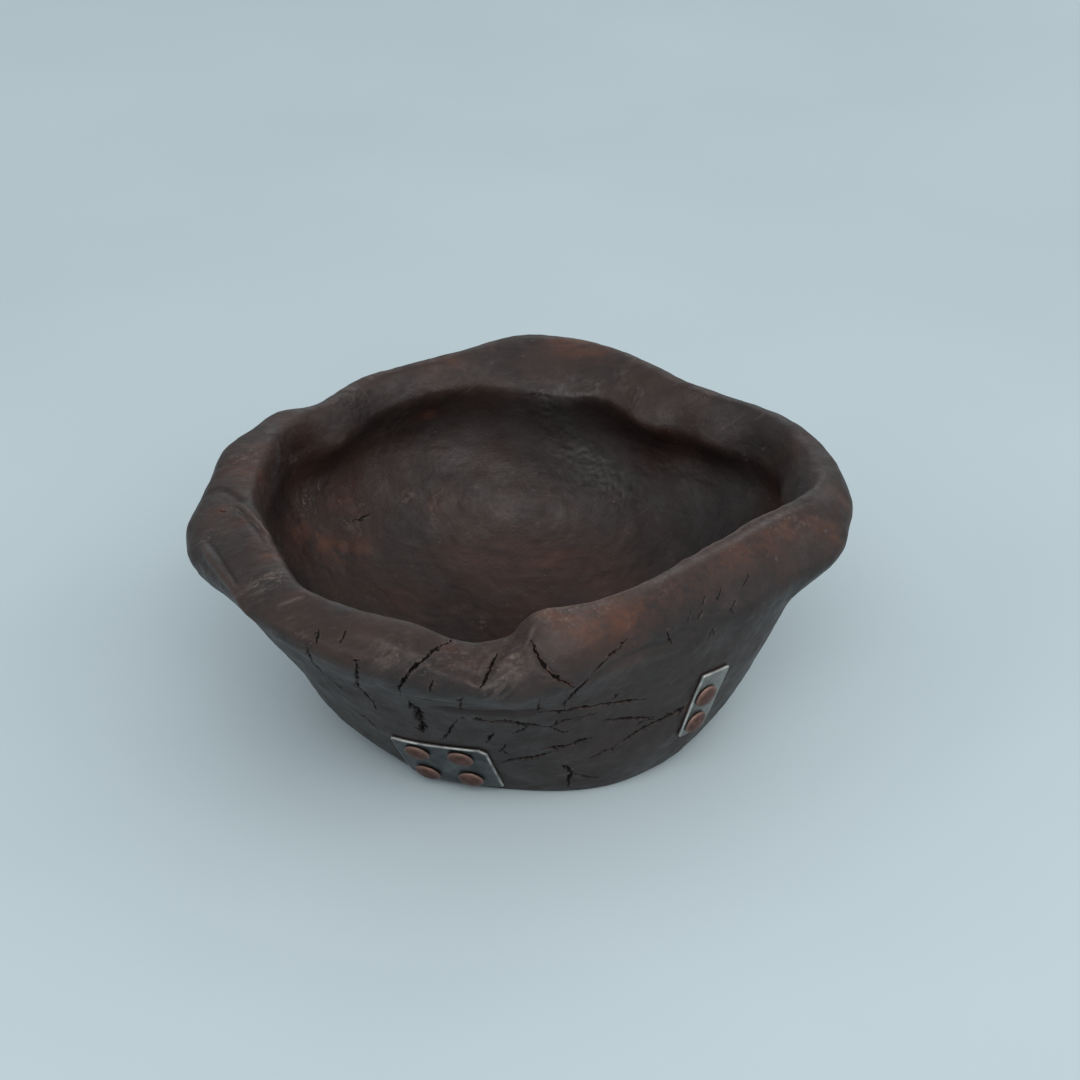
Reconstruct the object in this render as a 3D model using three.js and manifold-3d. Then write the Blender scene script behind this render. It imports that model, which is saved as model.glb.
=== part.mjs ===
// Hand-carved wooden bowl with a thick wavy lip, mended outside with two riveted metal patches.
//
// Units are millimetres and +Z is up. The foot rests on the plane Z = 0, and the origin is the
// middle of the foot. The large patch is at the front, which is -Y, and +X is to its right.
//
// An outline goes once round the bowl as a list of stations [angle, out, up]: how far it lies
// outside its nominal radius and above its nominal height there. Angles are in degrees from +X
// towards +Y. The outlines are what the carver left, so they follow no formula.

import * as THREE from 'three';
import { mergeVertices } from 'three/addons/utils/BufferGeometryUtils.js';
import Module from 'manifold-3d';

const wasm = await Module();
wasm.setup();

// Bowl body. The lip's outlines are stated from the rim's radius and height.
const RIM_RADIUS = 125;
const RIM_HEIGHT = 125;
const FOOT_RADIUS = 77;
const FOOT_ROUND = 2.5;
const WALL_LOW_RADIUS = 92;
const WALL_LOW_HEIGHT = 22;
const WALL_MID_RADIUS = 106;
const WALL_MID_HEIGHT = 50;
const NECK_DROP = 52;
const RIDGE_ROUND = 1.8;
const MOUTH_ROUND = 2.2;
const HOLLOW_DROP = 41;
const WALL_THICKNESS = 12;
const BASE_THICKNESS = 24;
const COVE_HEIGHT = 29;
const FLOOR_THICKNESS = 15;
const FLOOR_RADIUS = 42;
const FLOOR_RISE = 4.5;
const COARSE_STEP = 3;
const FINE_STEP = 1.5;
const FOLD_START = 255;
const FOLD_END = 279;

// Patches. Each lies on the wall at its angle and height, and is turned there by its tilt.
const PLATE_THICKNESS = 1.2;
const PLATE_GAP = 0.3;
const PLATE_CORNER = 1.2;
const FRONT_PLATE_ANGLE = 244.5;
const FRONT_PLATE_HEIGHT = 19.5;
const FRONT_PLATE_TILT = 3;
const FRONT_PLATE_WIDE = 43;
const FRONT_PLATE_TALL = 36;
const FRONT_PLATE_CLIP = 3;
const SIDE_PLATE_ANGLE = 317;
const SIDE_PLATE_HEIGHT = 43.7;
const SIDE_PLATE_TILT = -4.5;
const SIDE_PLATE_WIDE = 16.2;
const SIDE_PLATE_TALL = 36.5;

// Rivets. The margins run from a plate's left and bottom edges to the nearest rivets.
const FRONT_RIVET_LEFT = 10.6;
const FRONT_RIVET_BOTTOM = 8;
const FRONT_RIVET_ACROSS = 19.7;
const FRONT_RIVET_UP = 20;
const SIDE_RIVET_LEFT = 6.3;
const SIDE_RIVET_BOTTOM = 7.7;
const SIDE_RIVET_UP = 15.3;
const RIVET_HEAD_RADIUS = 5.7;
const RIVET_HEAD_RISE = 2;
const RIVET_HEAD_EDGE = 0.5;
const RIVET_SHANK_RADIUS = 1.8;
const RIVET_POINT = 3;
const RIVET_COVER = 5;
const RIVET_SEAT = 0.4;
const RIVET_HOLE_CLEARANCE = 0.3;
const RIVET_SEGMENTS = 16;

const FOOT = [
  [0, 1], [45, 0], [90, 0], [135, 1], [180, 3], [215, 1.5], [235, 0.3], [250, -2.5], [265, -3.5],
  [280, -2], [295, 0], [310, 0], [325, 0.5], [340, 1],
];

const WALL_LOW = [
  [0, 0], [45, -2], [90, -2], [135, 0], [180, 5], [205, 6], [230, 0.3], [250, -5], [270, -5],
  [290, -3], [310, -2], [325, -2], [340, -0.5],
];

const WALL_MID = [
  [0, 2], [45, -2], [90, 1], [135, 2], [180, 8], [205, 7.8], [230, 5], [250, -1], [270, -3],
  [285, -6], [305, -7.5], [325, -5], [340, -1.5],
];

const NECK = [
  [0, -6], [20, -8], [45, -13], [68, -9], [90, -6], [115, -6], [140, -6], [160, -2], [180, 3],
  [205, 4], [230, 0.5], [250, -4], [270, -8], [283, -15], [300, -19], [315, -18.5], [328, -15],
  [340, -11],
];

const LIP_UNDER = [
  [0, 11.8, -33], [8, 9.8, -32], [20, 4, -31], [40, -11, -28], [52, -15, -26], [63, -10, -24],
  [83, 1, -22], [94, 3, -22], [104, -4, -24], [117, -6, -26], [131, -3, -27], [141, -5, -29],
  [152, 5, -29], [168, 15, -30], [178, 20, -32], [188, 26, -33], [195, 25, -33.5],
  [202, 18.3, -34.5], [215, 12.3, -37], [228, 13.8, -36.9], [240, 13.2, -37.9], [256, 12.2, -38.9],
  [266, 10.2, -38.7], [272, 5, -37.9], [277, 1, -38], [283, -6, -37], [293, -14, -35.5],
  [304, -17, -35], [315, -15, -35], [327, -9, -34], [338, -4, -33.5], [348, 9, -33],
];

const LIP_SIDE_BULGE = [
  [0, 4.2], [10, 4.6], [20, 3.8], [32, 2.2], [45, 2], [100, 3], [165, 3], [188, 3], [200, 3],
  [212, 2], [225, 2.5], [252, 2.5], [262, 2.5], [268, 3.5], [274, 4.5], [284, 3], [300, 1.5],
  [335, 1.5], [350, 3.5],
];

const RIDGE = [
  [0, 9, -17], [8, 9.8, -12.5], [16, 9.2, -10.7], [25, 5.2, -8.5], [33, -1, -7.5],
  [42, -9.2, -5.3], [52, -12.5, -3.1], [63, -7.5, -1.8], [73, -1.5, -0.8], [83, 3, 0.2],
  [94, 4.5, 0.2], [104, -1.5, -1.5], [117, -3.5, -3.5], [131, 0, -5.5], [141, -2.5, -6.4],
  [147, -0.5, -7.8], [152, 7, -6.9], [160, 10.5, -7.6], [168, 16.4, -9.7], [176, 17, -14],
  [181, 18.5, -16], [186, 21.5, -18], [191, 22, -19.5], [198, 20, -20], [208, 19.5, -21],
  [219, 22.5, -22], [231, 19, -23], [244, 14.5, -24.5], [255, 15, -25.5], [261, 16, -26.5],
  [264, 11, -25.5], [266, 4, -22], [268, -2.5, -18.5], [270, -7, -14.5], [273, -10.5, -11.5],
  [280, -12.5, -12], [288, -16, -12.5], [299, -21.5, -12.5], [310, -25.5, -12.5],
  [319, -27, -12.5], [329, -24.5, -12.5], [337, -21, -12.5], [344, -15, -13], [350, -6, -13.5],
  [355, 3.5, -15.2],
];

const CREST = [
  [0, -1, -11.5], [10, 0, -11], [20, -2, -10], [33, -8.5, -6.5], [42, -16.5, -5.2],
  [52, -19.5, -3.3], [63, -14.5, -1.8], [73, -7.5, -0.8], [83, -3.5, 0.2], [94, -2.5, 0.2],
  [104, -8.5, -1.5], [117, -10.5, -3.5], [131, -7.5, -5.5], [141, -10.5, -5.9], [152, -6.5, -6.4],
  [160, -3.5, -7.5], [168, -2.5, -9], [178, -1, -12], [187, -1.5, -13], [195, -3, -13],
  [207, -2.5, -14], [222, 2.5, -15], [232, -2, -17], [245, -6, -18], [255, -2, -19],
  [262, -3.5, -19], [265, -6.5, -18], [267, -9.5, -15], [269, -11, -12], [272, -12.5, -9.5],
  [276, -14.5, -9.5], [283, -17.5, -10], [293, -23, -10.5], [305, -29.5, -10.5],
  [318, -31.5, -10.5], [330, -29.5, -10.5], [340, -24, -10.5], [347, -17, -11], [353, -10, -11.5],
];

const MOUTH = [
  [0, -17, -29], [8, -15.6, -28], [13, -12.7, -27], [20, -9.6, -26], [25, -11.9, -25],
  [30, -15.5, -24.5], [34, -22, -24], [39, -26.9, -23], [46, -28.5, -22], [53, -35, -21],
  [59, -36, -19], [65, -31.8, -17], [72, -28, -15], [79, -31, -15], [87, -29.7, -15],
  [97, -24.8, -14], [106, -19.4, -14], [115, -18.9, -14.5], [121, -17.5, -15.5], [128, -15.5, -17],
  [134, -16, -19], [141, -18.4, -21], [147, -18.5, -22.5], [152, -11.5, -23], [158, -7, -24],
  [164, -8, -24.5], [172, -8, -25], [182, -7, -27], [195, -10, -27], [207, -9.5, -28],
  [222, -6, -29], [240, -13, -31], [256, -12, -32], [264, -15, -31], [269, -19, -26],
  [276, -23, -23], [290, -30, -23], [305, -37, -23], [318, -39, -23], [330, -37, -24],
  [345, -27, -28],
];

const HOLLOW = [
  [0, -12], [20, -8], [40, -17], [56, -22], [66, -20], [74, -20], [82, -21], [92, -19], [102, -14],
  [112, -11], [130, -10], [143, -10], [158, -5], [180, -7], [200, -6], [225, -5], [250, -9],
  [265, -14], [280, -22], [300, -29], [318, -31], [335, -27],
];

// Reads one column of an outline at an angle, as a cubic through the stations all the way round.
function readOutline(outline, column, angle) {
  const count = outline.length;
  const turn = (index) => 360 * Math.floor(index / count);
  const at = (index) => outline[((index % count) + count) % count][0] + turn(index);
  const value = (index) => outline[((index % count) + count) % count][column];
  const wrapped = ((angle % 360) + 360) % 360;
  const next = outline.findIndex((station) => station[0] > wrapped);
  const from = (next < 0 ? count : next) - 1;
  const width = at(from + 1) - at(from);
  const slope = (index) => (value(index + 1) - value(index)) / (at(index + 1) - at(index));
  const tangent = (index) => {
    const before = at(index) - at(index - 1);
    const after = at(index + 1) - at(index);
    return (slope(index - 1) * after + slope(index) * before) / (before + after);
  };
  const t = (wrapped - at(from)) / width;
  const rise = value(from + 1) - value(from);
  const a = tangent(from) * width - rise;
  const b = rise - tangent(from + 1) * width;
  return value(from) + t * rise + t * (1 - t) * (a * (1 - t) + b * t);
}

function wallPoint(outline, radius, height, angle) {
  return new THREE.Vector3(radius + readOutline(outline, 1, angle), 0, height);
}

function lipPoint(outline, angle) {
  const out = readOutline(outline, 1, angle);
  return new THREE.Vector3(RIM_RADIUS + out, 0, RIM_HEIGHT + readOutline(outline, 2, angle));
}

function moved(point, out, height) {
  return new THREE.Vector3(point.x + out, 0, height);
}

function towards(point, other, distance) {
  return point.clone().addScaledVector(other.clone().sub(point).normalize(), distance);
}

// The points that the section at one angle passes through, from the foot, up the outside, over the
// lip and down the inside to the middle of the floor. X is the radius here.
function sectionPoints(angle) {
  const foot = wallPoint(FOOT, FOOT_RADIUS, FOOT_ROUND, angle);
  const low = wallPoint(WALL_LOW, WALL_LOW_RADIUS, WALL_LOW_HEIGHT, angle);
  const mid = wallPoint(WALL_MID, WALL_MID_RADIUS, WALL_MID_HEIGHT, angle);
  const under = lipPoint(LIP_UNDER, angle);
  const ridge = lipPoint(RIDGE, angle);
  const crest = lipPoint(CREST, angle);
  const mouth = lipPoint(MOUTH, angle);
  const hollow = wallPoint(HOLLOW, RIM_RADIUS, RIM_HEIGHT - HOLLOW_DROP, angle);
  const side = under.clone().add(ridge).multiplyScalar(0.5);
  side.x += readOutline(LIP_SIDE_BULGE, 1, angle);
  return [
    moved(foot, -FOOT_ROUND, 0),
    foot,
    low,
    mid,
    wallPoint(NECK, RIM_RADIUS, RIM_HEIGHT - NECK_DROP, angle),
    under,
    side,
    towards(ridge, side, RIDGE_ROUND),
    towards(ridge, crest, RIDGE_ROUND),
    crest,
    towards(mouth, crest, MOUTH_ROUND),
    towards(mouth, hollow, MOUTH_ROUND),
    hollow,
    moved(mid, -WALL_THICKNESS, WALL_MID_HEIGHT),
    moved(low, -BASE_THICKNESS, COVE_HEIGHT),
    new THREE.Vector3(FLOOR_RADIUS, 0, FLOOR_THICKNESS + FLOOR_RISE),
    new THREE.Vector3(0, 0, FLOOR_THICKNESS),
  ];
}

// Facets along each stretch between two neighbouring section points.
const SECTION_STEPS = [1, 2, 2, 3, 2, 2, 2, 1, 3, 3, 1, 3, 2, 2, 3, 2];

function sectionCurve(angle) {
  const points = sectionPoints(angle);
  const curve = new THREE.CatmullRomCurve3(points, false, 'centripetal');
  const rings = [];
  for (let span = 0; span < SECTION_STEPS.length; span += 1) {
    for (let step = 0; step < SECTION_STEPS[span]; step += 1) {
      const t = (span + step / SECTION_STEPS[span]) / SECTION_STEPS.length;
      rings.push(curve.getPoint(t));
    }
  }
  return rings;
}

// The section angles, closer together where the lip folds over.
function sectionAngles() {
  const angles = [];
  let angle = 0;
  while (angle < 360) {
    angles.push(angle);
    angle += angle >= FOLD_START && angle < FOLD_END ? FINE_STEP : COARSE_STEP;
  }
  return angles;
}

function bowlGeometry() {
  const positions = [];
  const indices = [];
  const angles = sectionAngles();
  for (const angle of angles) {
    const turn = THREE.MathUtils.degToRad(angle);
    for (const point of sectionCurve(angle)) {
      positions.push(point.x * Math.cos(turn), point.x * Math.sin(turn), point.z);
    }
  }
  const bottom = positions.length / 3;
  const rings = bottom / angles.length;
  positions.push(0, 0, 0);
  positions.push(0, 0, FLOOR_THICKNESS);
  for (let segment = 0; segment < angles.length; segment += 1) {
    const here = segment * rings;
    const there = ((segment + 1) % angles.length) * rings;
    indices.push(bottom, there, here);
    for (let ring = 0; ring < rings - 1; ring += 1) {
      indices.push(here + ring, there + ring, there + ring + 1);
      indices.push(here + ring, there + ring + 1, here + ring + 1);
    }
    indices.push(here + rings - 1, there + rings - 1, bottom + 1);
  }
  const geometry = new THREE.BufferGeometry();
  geometry.setAttribute('position', new THREE.Float32BufferAttribute(positions, 3));
  geometry.setIndex(indices);
  return geometry;
}

function solidOf(geometry) {
  const bare = geometry.clone();
  bare.deleteAttribute('normal');
  bare.deleteAttribute('uv');
  const merged = mergeVertices(bare, 1e-4);
  const vertProperties = new Float32Array(merged.attributes.position.array);
  const triVerts = new Uint32Array(merged.index.array);
  return new wasm.Manifold(new wasm.Mesh({ numProp: 3, vertProperties, triVerts }));
}

function geometryOf(solid) {
  const mesh = solid.getMesh();
  const geometry = new THREE.BufferGeometry();
  geometry.setAttribute('position', new THREE.Float32BufferAttribute(mesh.vertProperties, 3));
  geometry.setIndex(Array.from(mesh.triVerts));
  geometry.computeVertexNormals();
  return geometry;
}

function namedMesh(name, geometry, material) {
  const mesh = new THREE.Mesh(geometry, material);
  mesh.name = name;
  return mesh;
}

const UP = new THREE.Vector3(0, 0, 1);

// Meets the wall of the blank bowl along a straight line from outside it.
function meetWall(blank, origin, inward) {
  const ray = new THREE.Raycaster(origin, inward);
  return ray.intersectObject(blank)[0].point;
}

// A frame that lies on the wall: Z leaves the wood, and X runs level before it is turned by tilt.
function wallFrame(blank, origin, inward, reach, tilt) {
  const across = inward.clone().cross(UP).normalize();
  const along = across.clone().cross(inward);
  const meet = (x, y) => {
    const start = origin.clone().addScaledVector(across, x).addScaledVector(along, y);
    return meetWall(blank, start, inward);
  };
  const span = meet(reach, 0).sub(meet(-reach, 0));
  const rise = meet(0, reach).sub(meet(0, -reach));
  const outward = span.cross(rise).normalize();
  const level = UP.clone().cross(outward).normalize();
  const x = level.applyAxisAngle(outward, THREE.MathUtils.degToRad(tilt));
  const y = outward.clone().cross(x);
  return new THREE.Matrix4().makeBasis(x, y, outward).setPosition(meet(0, 0));
}

function plateFrame(blank, angle, height, tilt, reach) {
  const turn = THREE.MathUtils.degToRad(angle);
  const outward = new THREE.Vector3(Math.cos(turn), Math.sin(turn), 0);
  const origin = outward.clone().multiplyScalar(2 * FOOT_RADIUS).setZ(height);
  return wallFrame(blank, origin, outward.negate(), reach, tilt);
}

// The rivet's frame, at a point given in the plate's frame. Its Z is square to the wood there, and
// its origin is under the head, which clears the plate.
function rivetFrame(blank, plate, x, y) {
  const outward = new THREE.Vector3().setFromMatrixColumn(plate, 2);
  const stack = PLATE_GAP + PLATE_THICKNESS + RIVET_SEAT;
  const origin = new THREE.Vector3(x, y, 2 * RIVET_HEAD_RADIUS).applyMatrix4(plate);
  const frame = wallFrame(blank, origin, outward.clone().negate(), RIVET_HEAD_RADIUS, 0);
  const seat = new THREE.Vector3().setFromMatrixPosition(frame).addScaledVector(outward, stack);
  return frame.setPosition(seat);
}

function plateShape(wide, tall, clip) {
  const right = wide / 2;
  const top = tall / 2;
  const r = PLATE_CORNER;
  const shape = new THREE.Shape();
  shape.moveTo(r - right, -top);
  shape.lineTo(right - r, -top);
  shape.quadraticCurveTo(right, -top, right, r - top);
  shape.lineTo(right, top - clip);
  shape.lineTo(right - clip, top);
  shape.lineTo(r - right, top);
  shape.quadraticCurveTo(-right, top, -right, top - r);
  shape.lineTo(-right, r - top);
  shape.quadraticCurveTo(-right, -top, r - right, -top);
  return shape;
}

function movedBlank(blank, frame, distance) {
  const outward = new THREE.Vector3().setFromMatrixColumn(frame, 2).multiplyScalar(distance);
  return solidOf(blank.geometry.clone().translate(outward.x, outward.y, outward.z));
}

// Sheet metal beaten to the wall: the wall's own surface, moved out and cut to the plate's outline.
function plateSolid(blank, frame, shape, rivetFrames) {
  const reach = WALL_THICKNESS / 2;
  const options = { depth: 2 * reach, bevelEnabled: false, curveSegments: 3 };
  const block = new THREE.ExtrudeGeometry(shape, options);
  block.translate(0, 0, -reach);
  block.applyMatrix4(frame);
  const front = movedBlank(blank, frame, PLATE_GAP + PLATE_THICKNESS);
  const back = movedBlank(blank, frame, PLATE_GAP);
  let plate = solidOf(block).intersect(front).subtract(back);
  for (const rivet of rivetFrames) {
    plate = plate.subtract(solidOf(drillGeometry(rivet)));
  }
  return plate;
}

function shankLength() {
  return PLATE_GAP + PLATE_THICKNESS + RIVET_SEAT + WALL_THICKNESS - RIVET_COVER;
}

function turned(profile, frame) {
  const points = profile.map(([x, y]) => new THREE.Vector2(x, y));
  const geometry = new THREE.LatheGeometry(points, RIVET_SEGMENTS);
  geometry.rotateX(Math.PI / 2);
  geometry.applyMatrix4(frame);
  return geometry;
}

// What a rivet's shank needs through the plate and into the wood.
function drillGeometry(frame) {
  const radius = RIVET_SHANK_RADIUS + RIVET_HOLE_CLEARANCE;
  const bottom = -shankLength() - RIVET_HOLE_CLEARANCE;
  return turned([[0, bottom], [radius, bottom + RIVET_POINT], [radius, RIVET_SHANK_RADIUS],
    [0, RIVET_SHANK_RADIUS]], frame);
}

// Copper rivet: a low hammered dome on a pointed shank.
function rivetGeometry(frame) {
  const rim = RIVET_HEAD_RADIUS;
  const edge = RIVET_HEAD_EDGE;
  const bottom = -shankLength();
  const dome = [1, 0.94, 0.8, 0.55, 0.28, 0].map((share) => {
    return [rim * share, edge + RIVET_HEAD_RISE * Math.sqrt(1 - share * share)];
  });
  return turned([[0, bottom], [RIVET_SHANK_RADIUS, bottom + RIVET_POINT],
    [RIVET_SHANK_RADIUS, 0], [rim, 0], ...dome], frame);
}

const wood = new THREE.MeshStandardMaterial({ color: 0x3b302c, roughness: 0.6, metalness: 0 });
const steel = new THREE.MeshStandardMaterial({ color: 0x6f7677, roughness: 0.45, metalness: 1 });
const copper = new THREE.MeshStandardMaterial({ color: 0x7a4a3a, roughness: 0.5, metalness: 1 });

const blank = new THREE.Mesh(bowlGeometry(), wood);
const frontPlate = plateFrame(
  blank,
  FRONT_PLATE_ANGLE,
  FRONT_PLATE_HEIGHT,
  FRONT_PLATE_TILT,
  FRONT_PLATE_TALL / 3,
);
const sidePlate = plateFrame(
  blank,
  SIDE_PLATE_ANGLE,
  SIDE_PLATE_HEIGHT,
  SIDE_PLATE_TILT,
  SIDE_PLATE_WIDE / 2,
);

// Top row first, left to right.
const frontColumn = FRONT_RIVET_LEFT - FRONT_PLATE_WIDE / 2;
const frontRow = FRONT_RIVET_BOTTOM - FRONT_PLATE_TALL / 2;
const frontRivets = [
  rivetFrame(blank, frontPlate, frontColumn, frontRow + FRONT_RIVET_UP),
  rivetFrame(blank, frontPlate, frontColumn + FRONT_RIVET_ACROSS, frontRow + FRONT_RIVET_UP),
  rivetFrame(blank, frontPlate, frontColumn, frontRow),
  rivetFrame(blank, frontPlate, frontColumn + FRONT_RIVET_ACROSS, frontRow),
];
const sideColumn = SIDE_RIVET_LEFT - SIDE_PLATE_WIDE / 2;
const sideRow = SIDE_RIVET_BOTTOM - SIDE_PLATE_TALL / 2;
const sideRivets = [
  rivetFrame(blank, sidePlate, sideColumn, sideRow + SIDE_RIVET_UP),
  rivetFrame(blank, sidePlate, sideColumn, sideRow),
];

let body = solidOf(blank.geometry);
for (const rivet of [...frontRivets, ...sideRivets]) {
  body = body.subtract(solidOf(drillGeometry(rivet)));
}

const frontShape = plateShape(FRONT_PLATE_WIDE, FRONT_PLATE_TALL, FRONT_PLATE_CLIP);
const sideShape = plateShape(SIDE_PLATE_WIDE, SIDE_PLATE_TALL, PLATE_CORNER);
const frontSheet = plateSolid(blank, frontPlate, frontShape, frontRivets);
const sideSheet = plateSolid(blank, sidePlate, sideShape, sideRivets);

const bowl = new THREE.Group();
bowl.add(namedMesh('bowl_body', geometryOf(body), wood));
bowl.add(namedMesh('front_patch_plate', geometryOf(frontSheet), steel));
bowl.add(namedMesh('side_patch_plate', geometryOf(sideSheet), steel));
frontRivets.forEach((frame, index) => {
  bowl.add(namedMesh(`front_rivet_${index + 1}`, rivetGeometry(frame), copper));
});
sideRivets.forEach((frame, index) => {
  bowl.add(namedMesh(`side_rivet_${index + 1}`, rivetGeometry(frame), copper));
});

export default bowl;
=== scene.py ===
# Hand-carved wooden bowl with riveted metal patches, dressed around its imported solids.
#
# The wall is lofted again from the outlines that run round the bowl, on a much finer grid, and is
# then carved: folds, creases, tool marks, puckers, scratches and cracks are all in the mesh.
# Outlines are in millimetres. Marks on the wood are given as pixels of the 1080 x 1080
# photograph, and are thrown onto the wood along the camera's rays.

import math
from itertools import product

import bmesh
import bpy
import numpy as np
from mathutils import Matrix, Vector
from mathutils.bvhtree import BVHTree
from mathutils.kdtree import KDTree


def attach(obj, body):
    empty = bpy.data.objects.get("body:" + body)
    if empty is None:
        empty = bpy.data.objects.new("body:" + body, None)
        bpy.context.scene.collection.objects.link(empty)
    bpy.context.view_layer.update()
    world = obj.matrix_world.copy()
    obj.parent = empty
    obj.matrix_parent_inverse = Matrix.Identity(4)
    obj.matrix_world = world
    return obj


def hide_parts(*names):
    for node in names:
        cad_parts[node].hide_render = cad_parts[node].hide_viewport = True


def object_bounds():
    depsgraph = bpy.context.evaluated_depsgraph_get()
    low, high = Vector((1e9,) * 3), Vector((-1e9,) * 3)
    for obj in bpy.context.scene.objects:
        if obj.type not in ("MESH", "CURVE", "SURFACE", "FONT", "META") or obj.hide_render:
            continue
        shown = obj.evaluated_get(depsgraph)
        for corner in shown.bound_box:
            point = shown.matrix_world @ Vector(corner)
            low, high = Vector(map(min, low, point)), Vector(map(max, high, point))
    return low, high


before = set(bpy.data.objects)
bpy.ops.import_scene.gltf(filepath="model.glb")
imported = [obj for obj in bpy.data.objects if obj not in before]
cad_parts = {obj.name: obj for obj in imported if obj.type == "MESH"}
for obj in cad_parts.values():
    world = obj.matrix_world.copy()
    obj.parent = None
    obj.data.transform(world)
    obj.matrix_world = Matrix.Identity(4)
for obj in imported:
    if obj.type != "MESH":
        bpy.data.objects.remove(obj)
CAD_LOW, CAD_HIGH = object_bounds()

MM = 0.001
UP = Vector((0, 0, 1))

# Camera, fitted to the backdrop of the photograph.
PHOTO_SIDE = 1080
CAMERA_PLACE = Vector((0.0023, -1.0034, 0.6431))
CAMERA_DOWN = math.radians(29.1)
CAMERA_FOCUS = 2600.0
SENSOR_WIDE = 36.0
CLIP_NEAR, CLIP_FAR = 0.05, 20
BOWL_PIXEL = np.array((520.0, 560.0))

# The bowl's sizes. The lip's outlines are stated from the rim's radius and height.
RIM_RADIUS = 125
RIM_HEIGHT = 125
FOOT_RADIUS = 77
FOOT_ROUND = 2.5
WALL_LOW_RADIUS = 92
WALL_LOW_HEIGHT = 22
WALL_MID_RADIUS = 106
WALL_MID_HEIGHT = 50
NECK_DROP = 52
RIDGE_ROUND = 1.8
MOUTH_ROUND = 2.2
HOLLOW_DROP = 41
WALL_THICKNESS = 12
BASE_THICKNESS = 24
COVE_HEIGHT = 29
FLOOR_THICKNESS = 15
FLOOR_RADIUS = 42
FLOOR_RISE = 4.5

# Sheet metal patches. The edge lines are how far the grid's outer lines lie from the edge.
PLATE_THICKNESS = 1.2
PLATE_GAP = 0.3
PLATE_CORNER = 1.2
PLATE_PITCH = 0.9
PLATE_EDGE_LINES = [0, 0.12, 0.3, 0.6, 1.0, 1.6]
PLATE_EDGE_BAND = 2.4
PLATE_ROUND, PLATE_ROUND_WIDE = 0.4, 0.45
PLATE_BURR, PLATE_BURR_IN, PLATE_BURR_WIDE = 0.12, 0.7, 0.5
PLATE_DENT, PLATE_DENT_LONG = 0.22, 8
PLATE_DIP = 0.2
PLATE_WORN_WIDE = 0.55
FRONT_PLATE_ANGLE = 244.5
FRONT_PLATE_HEIGHT = 19.5
FRONT_PLATE_TILT = 3
FRONT_PLATE_WIDE = 43
FRONT_PLATE_TALL = 36
FRONT_PLATE_CLIP = 3
# Share of painted reflection that lightens the front plate's face.
FRONT_PLATE_REFLECTION = 0.08
SIDE_PLATE_ANGLE = 317
SIDE_PLATE_HEIGHT = 43.7
SIDE_PLATE_TILT = -4.5
SIDE_PLATE_WIDE = 16.2
SIDE_PLATE_TALL = 36.5
# Share of painted reflection that lightens the side plate's face.
SIDE_PLATE_REFLECTION = 0.7

# Rivets. The margins run from a plate's left and bottom edges to the nearest rivets.
FRONT_RIVET_LEFT = 10.6
FRONT_RIVET_BOTTOM = 8
FRONT_RIVET_ACROSS = 19.7
FRONT_RIVET_UP = 20
SIDE_RIVET_LEFT = 6.3
SIDE_RIVET_BOTTOM = 7.7
SIDE_RIVET_UP = 15.3
RIVET_HEAD_RADIUS = 5.7
RIVET_HEAD_RISE = 2
RIVET_HEAD_EDGE = 0.5
RIVET_SHANK_RADIUS = 1.8
RIVET_POINT = 3
RIVET_COVER = 5
RIVET_SEAT = 0.4
RIVET_STEPS = 40
RIVET_LIP, RIVET_LIP_RISE = 0.3, 0.18
RIVET_DOME = (0.97, 0.9, 0.8, 0.68, 0.55, 0.42, 0.3, 0.18, 0.08)
RIVET_DOME_POWER = 0.62
RIVET_DENT, RIVET_DENT_LONG = 0.3, 2.6
RIVET_UNEVEN = 0.05
RIVET_WORN_WIDE = 0.7

# The lean of the fine strokes on the wood, up to the right.
STROKE_LEAN = math.radians(40)

# Outlines round the bowl: (angle, out, up), from their nominal radius and height.
FOOT = [
    (0, 1), (45, 0), (90, 0), (135, 1), (180, 3), (215, 1.5), (235, 0.3), (250, -2.5),
    (265, -3.5), (280, -2), (295, 0), (310, 0), (325, 0.5), (340, 1),
]
WALL_LOW = [
    (0, 0), (45, -2), (90, -2), (135, 0), (180, 5), (205, 6), (230, 0.3), (250, -5), (270, -5),
    (290, -3), (310, -2), (325, -2), (340, -0.5),
]
WALL_MID = [
    (0, 2), (45, -2), (90, 1), (135, 2), (180, 8), (205, 7.8), (230, 5), (250, -1), (270, -3),
    (285, -6), (305, -7.5), (325, -5), (340, -1.5),
]
NECK = [
    (0, -6), (20, -8), (45, -13), (68, -9), (90, -6), (115, -6), (140, -6), (160, -2), (180, 3),
    (205, 4), (230, 0.5), (250, -4), (270, -8), (283, -15), (300, -19), (315, -18.5), (328, -15),
    (340, -11),
]
LIP_UNDER = [
    (0, 11.8, -33), (8, 9.8, -32), (20, 4, -31), (40, -11, -28), (52, -15, -26), (63, -10, -24),
    (83, 1, -22), (94, 3, -22), (104, -4, -24), (117, -6, -26), (131, -3, -27), (141, -5, -29),
    (152, 5, -29), (168, 15, -30), (178, 20, -32), (188, 26, -33), (195, 25, -33.5),
    (202, 18.3, -34.5), (215, 12.3, -37), (228, 13.8, -36.9), (240, 13.2, -37.9),
    (256, 12.2, -38.9), (266, 10.2, -38.7), (272, 5, -37.9), (277, 1, -38), (283, -6, -37),
    (293, -14, -35.5), (304, -17, -35), (315, -15, -35), (327, -9, -34), (338, -4, -33.5),
    (348, 9, -33),
]
LIP_SIDE_BULGE = [
    (0, 4.2), (10, 4.6), (20, 3.8), (32, 2.2), (45, 2), (100, 3), (165, 3), (188, 3), (200, 3),
    (212, 2), (225, 2.5), (252, 2.5), (262, 2.5), (268, 3.5), (274, 4.5), (284, 3), (300, 1.5),
    (335, 1.5), (350, 3.5),
]
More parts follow.
